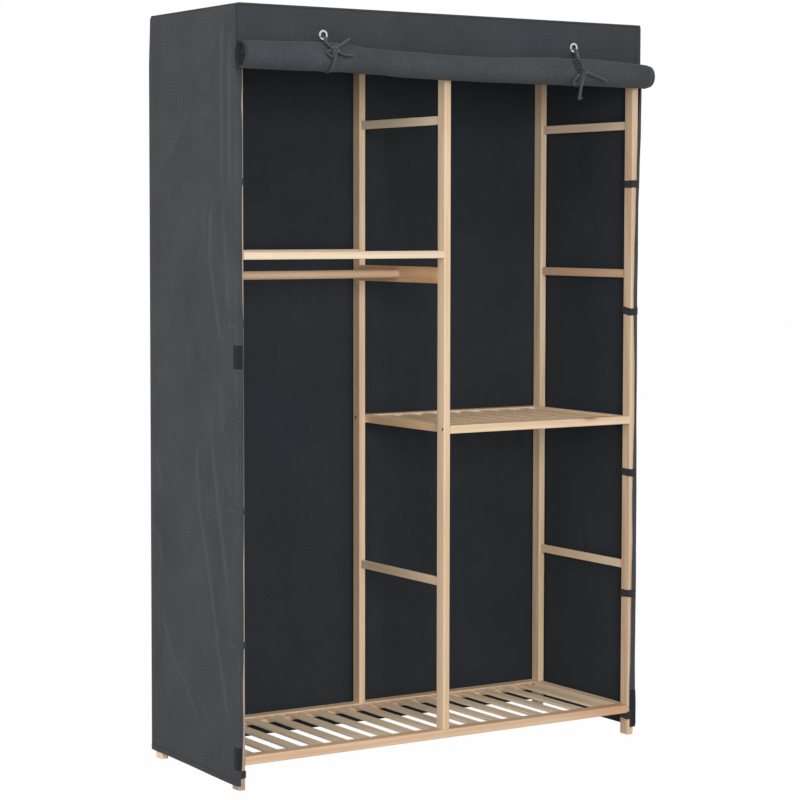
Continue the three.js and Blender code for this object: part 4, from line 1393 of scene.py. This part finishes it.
def roll_shares():
    """Places along the roll, closer together at its ends."""
    near_end = [0.0, 0.0006, 0.0012, 0.0018, 0.0026, 0.0034, 0.0045, 0.0065]
    return near_end + [lerp(0.01, 0.99, k / 98) for k in range(99)] + [1 - x for x in near_end[::-1]]


ROLL_SHARES = roll_shares()


def roll_layer_shift(turn, share):
    """The inner layers stand further to the right, in two steps."""
    step = ROLL_RIM_STEP * (smooth(1.6, 1.95, turn) + smooth(3.6, 3.95, turn))
    return step * (1.0 if share > 0.5 else 0.5)


def roll_place(share, turn):
    sunk, full = (value * MILLIMETRE for value in along_table(ROLL_LINE, share))
    angle = -turn * math.tau
    near = max(hill(share - tie, ROLL_TIE_WIDTH) for tie in ROLL_TIES)
    wrap = math.sin(angle * 3 + share * 95) * ROLL_WRAP * near
    wave = ROLL_WAVE * waviness(share * 6, math.sin(angle) * 0.5, 2.0, 3.3)
    wave += ROLL_SMALL_WAVE * waviness(share * 22, math.cos(angle) * 0.8, 2.0, 8.8)
    from_end = min(share, 1 - share)
    ends = smooth(0, ROLL_END_SHARE, from_end)
    radius = full - ROLL_PITCH * turn + (wrap + wave) * ends
    radius -= ROLL_FUNNEL * smooth(4.0, 8.0, turn) * smooth(0.0, 0.035, from_end)
    at_end = waviness(math.cos(angle) * 1.5, math.sin(angle) * 1.5 + turn * 0.7, 1.0, 5.5)
    radius += ROLL_END_WAVE * at_end * (1 - ends)
    x = lerp(roll_low.x - ROLL_LEFT_MORE, roll_high.x - ROLL_RIGHT_CUT, share)
    x += roll_layer_shift(turn, share)
    x += ROLL_LEFT_SLANT * smooth(-0.3, 1.0, math.cos(angle)) * smooth(0.03, 0.0, share)
    y = BAND_FRONT - JOINT_GAP - full + math.cos(angle) * radius
    z = ROLL_AXIS_Z - sunk + math.sin(angle) * radius
    return Vector((x, y, z)), wrap


def add_roll():
    rows = ROLL_TURNS * ROLL_STEPS

    def place(i, j):
        return roll_place(ROLL_SHARES[i], j / ROLL_STEPS)[0]

    def marks(i, j):
        # Painted highlights on the layers' cut edges and on ripple tops near the ties; painted shade on the
        # inner layers in the hollow at the left end and where they come out at the right end.
        share, turn = ROLL_SHARES[i], j / ROLL_STEPS
        _, wrap = roll_place(share, turn)
        from_end = min(share, 1 - share)
        if share < 0.5:
            rim_highlight = 0.5 * smooth(0.0019, 0.001, from_end) * smooth(1.0, 0.8, turn)
            return max(rim_highlight, wrap * 500), 0.75 * smooth(0.2, 0.7, turn) * smooth(0.008, 0.004, from_end)
        rim_highlight = 2.6 * smooth(0.0019, 0.001, from_end)
        tucked_shade = smooth(1.6, 1.9, turn) * smooth(0.0012, 0.0024, from_end)
        return max(rim_highlight, wrap * 500), 1.3 * tucked_shade * smooth(0.014, 0.008, from_end)

    piece = cloth_grid("roll_cloth", len(ROLL_SHARES) - 1, rows, place, "door",
                       [roll_outside, roll_inside_lit], thickness=ROLL_CLOTH, marks=marks)
    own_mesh(piece)
    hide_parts("door_roll")


add_roll()
add_laces()


# Straps round the front posts, sewn to the side cloths' hems

STRAP_THICKNESS = 0.0011
STRAP_HEIGHT = 0.0176
LEFT_STRAP_HEIGHT = 0.0145
STRAP_ROWS = 6
STRAP_STEP = 0.0025
LEFT_STRAPS = (0.322, 0.619, 1.030, 1.336)
STRAP_TILTS = (0.8, -1.0, -2.6, 0.5)

# Foot straps as (name, side, low, height, tilt, front edge, seed)
FOOT_STRAPS = (
    ("right_foot_strap", 1, 0.039, 0.019, -0.6, RIGHT_EDGE, 1.1),
    ("left_foot_strap", -1, 0.0265, 0.0165, 0.4, LEFT_EDGE, 2.3))


def strap_line(side, hem_end):
    """Where a strap runs round a front post; the right ones lie over the hem, the left ones under it."""
    inner = front_post_low.x - 0.0006
    behind = front_post_high.y + 0.0008
    over = CLOTH_OUT_FRONT - 0.0007
    on_post = FRONT - 0.0015
    line = [(CLOTH_OUT_X - 0.0004, over + 0.0012), (CLOTH_OUT_X - 0.0022, over), (hem_end - 0.0006, over),
            (hem_end - 0.0022, on_post)]
    if side < 0:
        line = [(hem_end + 0.006, on_post)]
    line += [(inner + 0.0004, on_post), (inner - 0.0007, FRONT - 0.0004), (inner - 0.0009, behind - 0.0006),
             (inner + 0.0006, behind + 0.0011), (HALF_WIDTH - 0.001, behind + 0.0012)]
    path = []
    for (x0, y0), (x1, y1) in zip(line, line[1:]):
        parts = max(1, round(math.hypot(x1 - x0, y1 - y0) / STRAP_STEP))
        path.extend((lerp(x0, x1, i / parts), lerp(y0, y1, i / parts)) for i in range(parts))
    path.append(line[-1])
    return [(side * x, y) for x, y in path]


def add_strap(name, side, low, height, tilt, edge_table, seed, stands_for=None):
    hem_end, _ = along_table(edge_table, low)
    path = strap_line(side, hem_end)
    rows = STRAP_ROWS
    count = len(path) - 1

    def place(i, j):
        x, y = path[i]
        run = i / count
        dip = tilt * math.sin(run * 5.2) * MILLIMETRE + 0.0008 * waviness(run * 4, 0.0, 2.0, seed)
        narrow = 1.0 - 0.1 * waviness(run * 3, 1.0, 2.0, seed + 2)
        return Vector((x, y, low + dip + height * (0.5 + (j / rows - 0.5) * narrow)))

    def marks(i, j):
        # Painted shade along the tape's two edges.
        return 0.0, 0.5 if j in (0, rows) else 0.0

    piece = cloth_grid(name, count, rows, place, "wardrobe", [strap_webbing], turned=side > 0,
                       thickness=STRAP_THICKNESS, marks=marks)
    if stands_for:
        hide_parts(stands_for)


def add_straps():
    for strap in FOOT_STRAPS:
        add_strap(*strap)
    for k in range(1, 5):
        low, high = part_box(f"right_strap_{k}")
        middle = (low.z + high.z) / 2 - STRAP_HEIGHT / 2
        add_strap(f"right_strap_tape_{k}", 1, middle, STRAP_HEIGHT, STRAP_TILTS[k - 1], RIGHT_EDGE, k * 1.7,
                  f"right_strap_{k}")
        add_strap(f"left_strap_tape_{k}", -1, LEFT_STRAPS[k - 1] - LEFT_STRAP_HEIGHT / 2,
                  LEFT_STRAP_HEIGHT, STRAP_TILTS[-k], LEFT_EDGE, k * 2.9)


add_straps()


# Floor, lights and world

FLOOR_SIZE = 40
FLOOR_GLOW = 0.985
WORLD_STRENGTH = 0.42

# Lights as (name, place, aim, size, power)
LIGHTS = (
    ("key", (-2.4, -6.2, 1.9), (0, 0, 0.95), 2.1, 222),
    ("top_front", (-0.6, -3.4, 4.4), (0, -0.2, 1.5), 1.6, 38),
    ("left_fill", (-5.2, -1.0, 2.0), (0, 0, 1.2), 2.4, 90),
    ("right_fill", (5.2, 0.6, 1.7), (0, 0, 0.9), 2.4, 70),
    ("back_fill", (1.6, 5.6, 2.6), (0, 0, 0.9), 2.6, 150))


def seen_directly(tree):
    """1 where a ray shows a surface, 0 where it only lights others."""
    rays = node(tree, "LightPath").outputs
    seen = math_node(tree, "MAXIMUM", rays["Is Camera Ray"], rays["Is Glossy Ray"])
    return math_node(tree, "MAXIMUM", seen, rays["Is Transmission Ray"])


def add_floor():
    bpy.ops.mesh.primitive_plane_add(size=FLOOR_SIZE, location=(0, 0, 0))
    floor = bpy.context.object
    floor.name = "floor"
    material, tree = new_material("floor_white")
    grain = noise_node(tree, object_place(tree), 3.0)
    lit = node(tree, "BsdfDiffuse", {"Color": greys(tree, grain, (0.3, 0.6), (0.7, 0.64))})
    glow = node(tree, "Emission", {"Color": grey(1.0), "Strength": 1.0})
    share = times(tree, seen_directly(tree), FLOOR_GLOW)
    both = node(tree, "MixShader", {0: share, 1: lit.outputs[0], 2: glow.outputs[0]})
    node(tree, "OutputMaterial", {"Surface": both.outputs[0]})
    floor.data.materials.append(material)


def add_world():
    world = bpy.data.worlds.new("studio")
    bpy.context.scene.world = world
    world.use_nodes = True
    tree = world.node_tree
    tree.nodes.clear()
    soft = node(tree, "Background", {"Color": grey(1.0), "Strength": WORLD_STRENGTH})
    white = node(tree, "Background", {"Color": grey(1.0), "Strength": 1.0})
    both = node(tree, "MixShader", {0: seen_directly(tree), 1: soft.outputs[0], 2: white.outputs[0]})
    node(tree, "OutputWorld", {"Surface": both.outputs[0]})


def add_area_light(name, place, aim, size, power):
    data = bpy.data.lights.new(name, "AREA")
    data.shape = "SQUARE"
    data.size = size
    data.energy = power
    light = bpy.data.objects.new(name, data)
    light.location = place
    light.rotation_euler = (Vector(aim) - Vector(place)).to_track_quat("-Z", "Y").to_euler()
    bpy.context.scene.collection.objects.link(light)


add_floor()
add_world()
for settings in LIGHTS:
    add_area_light(*settings)

bpy.context.scene.view_settings.view_transform = "Standard"
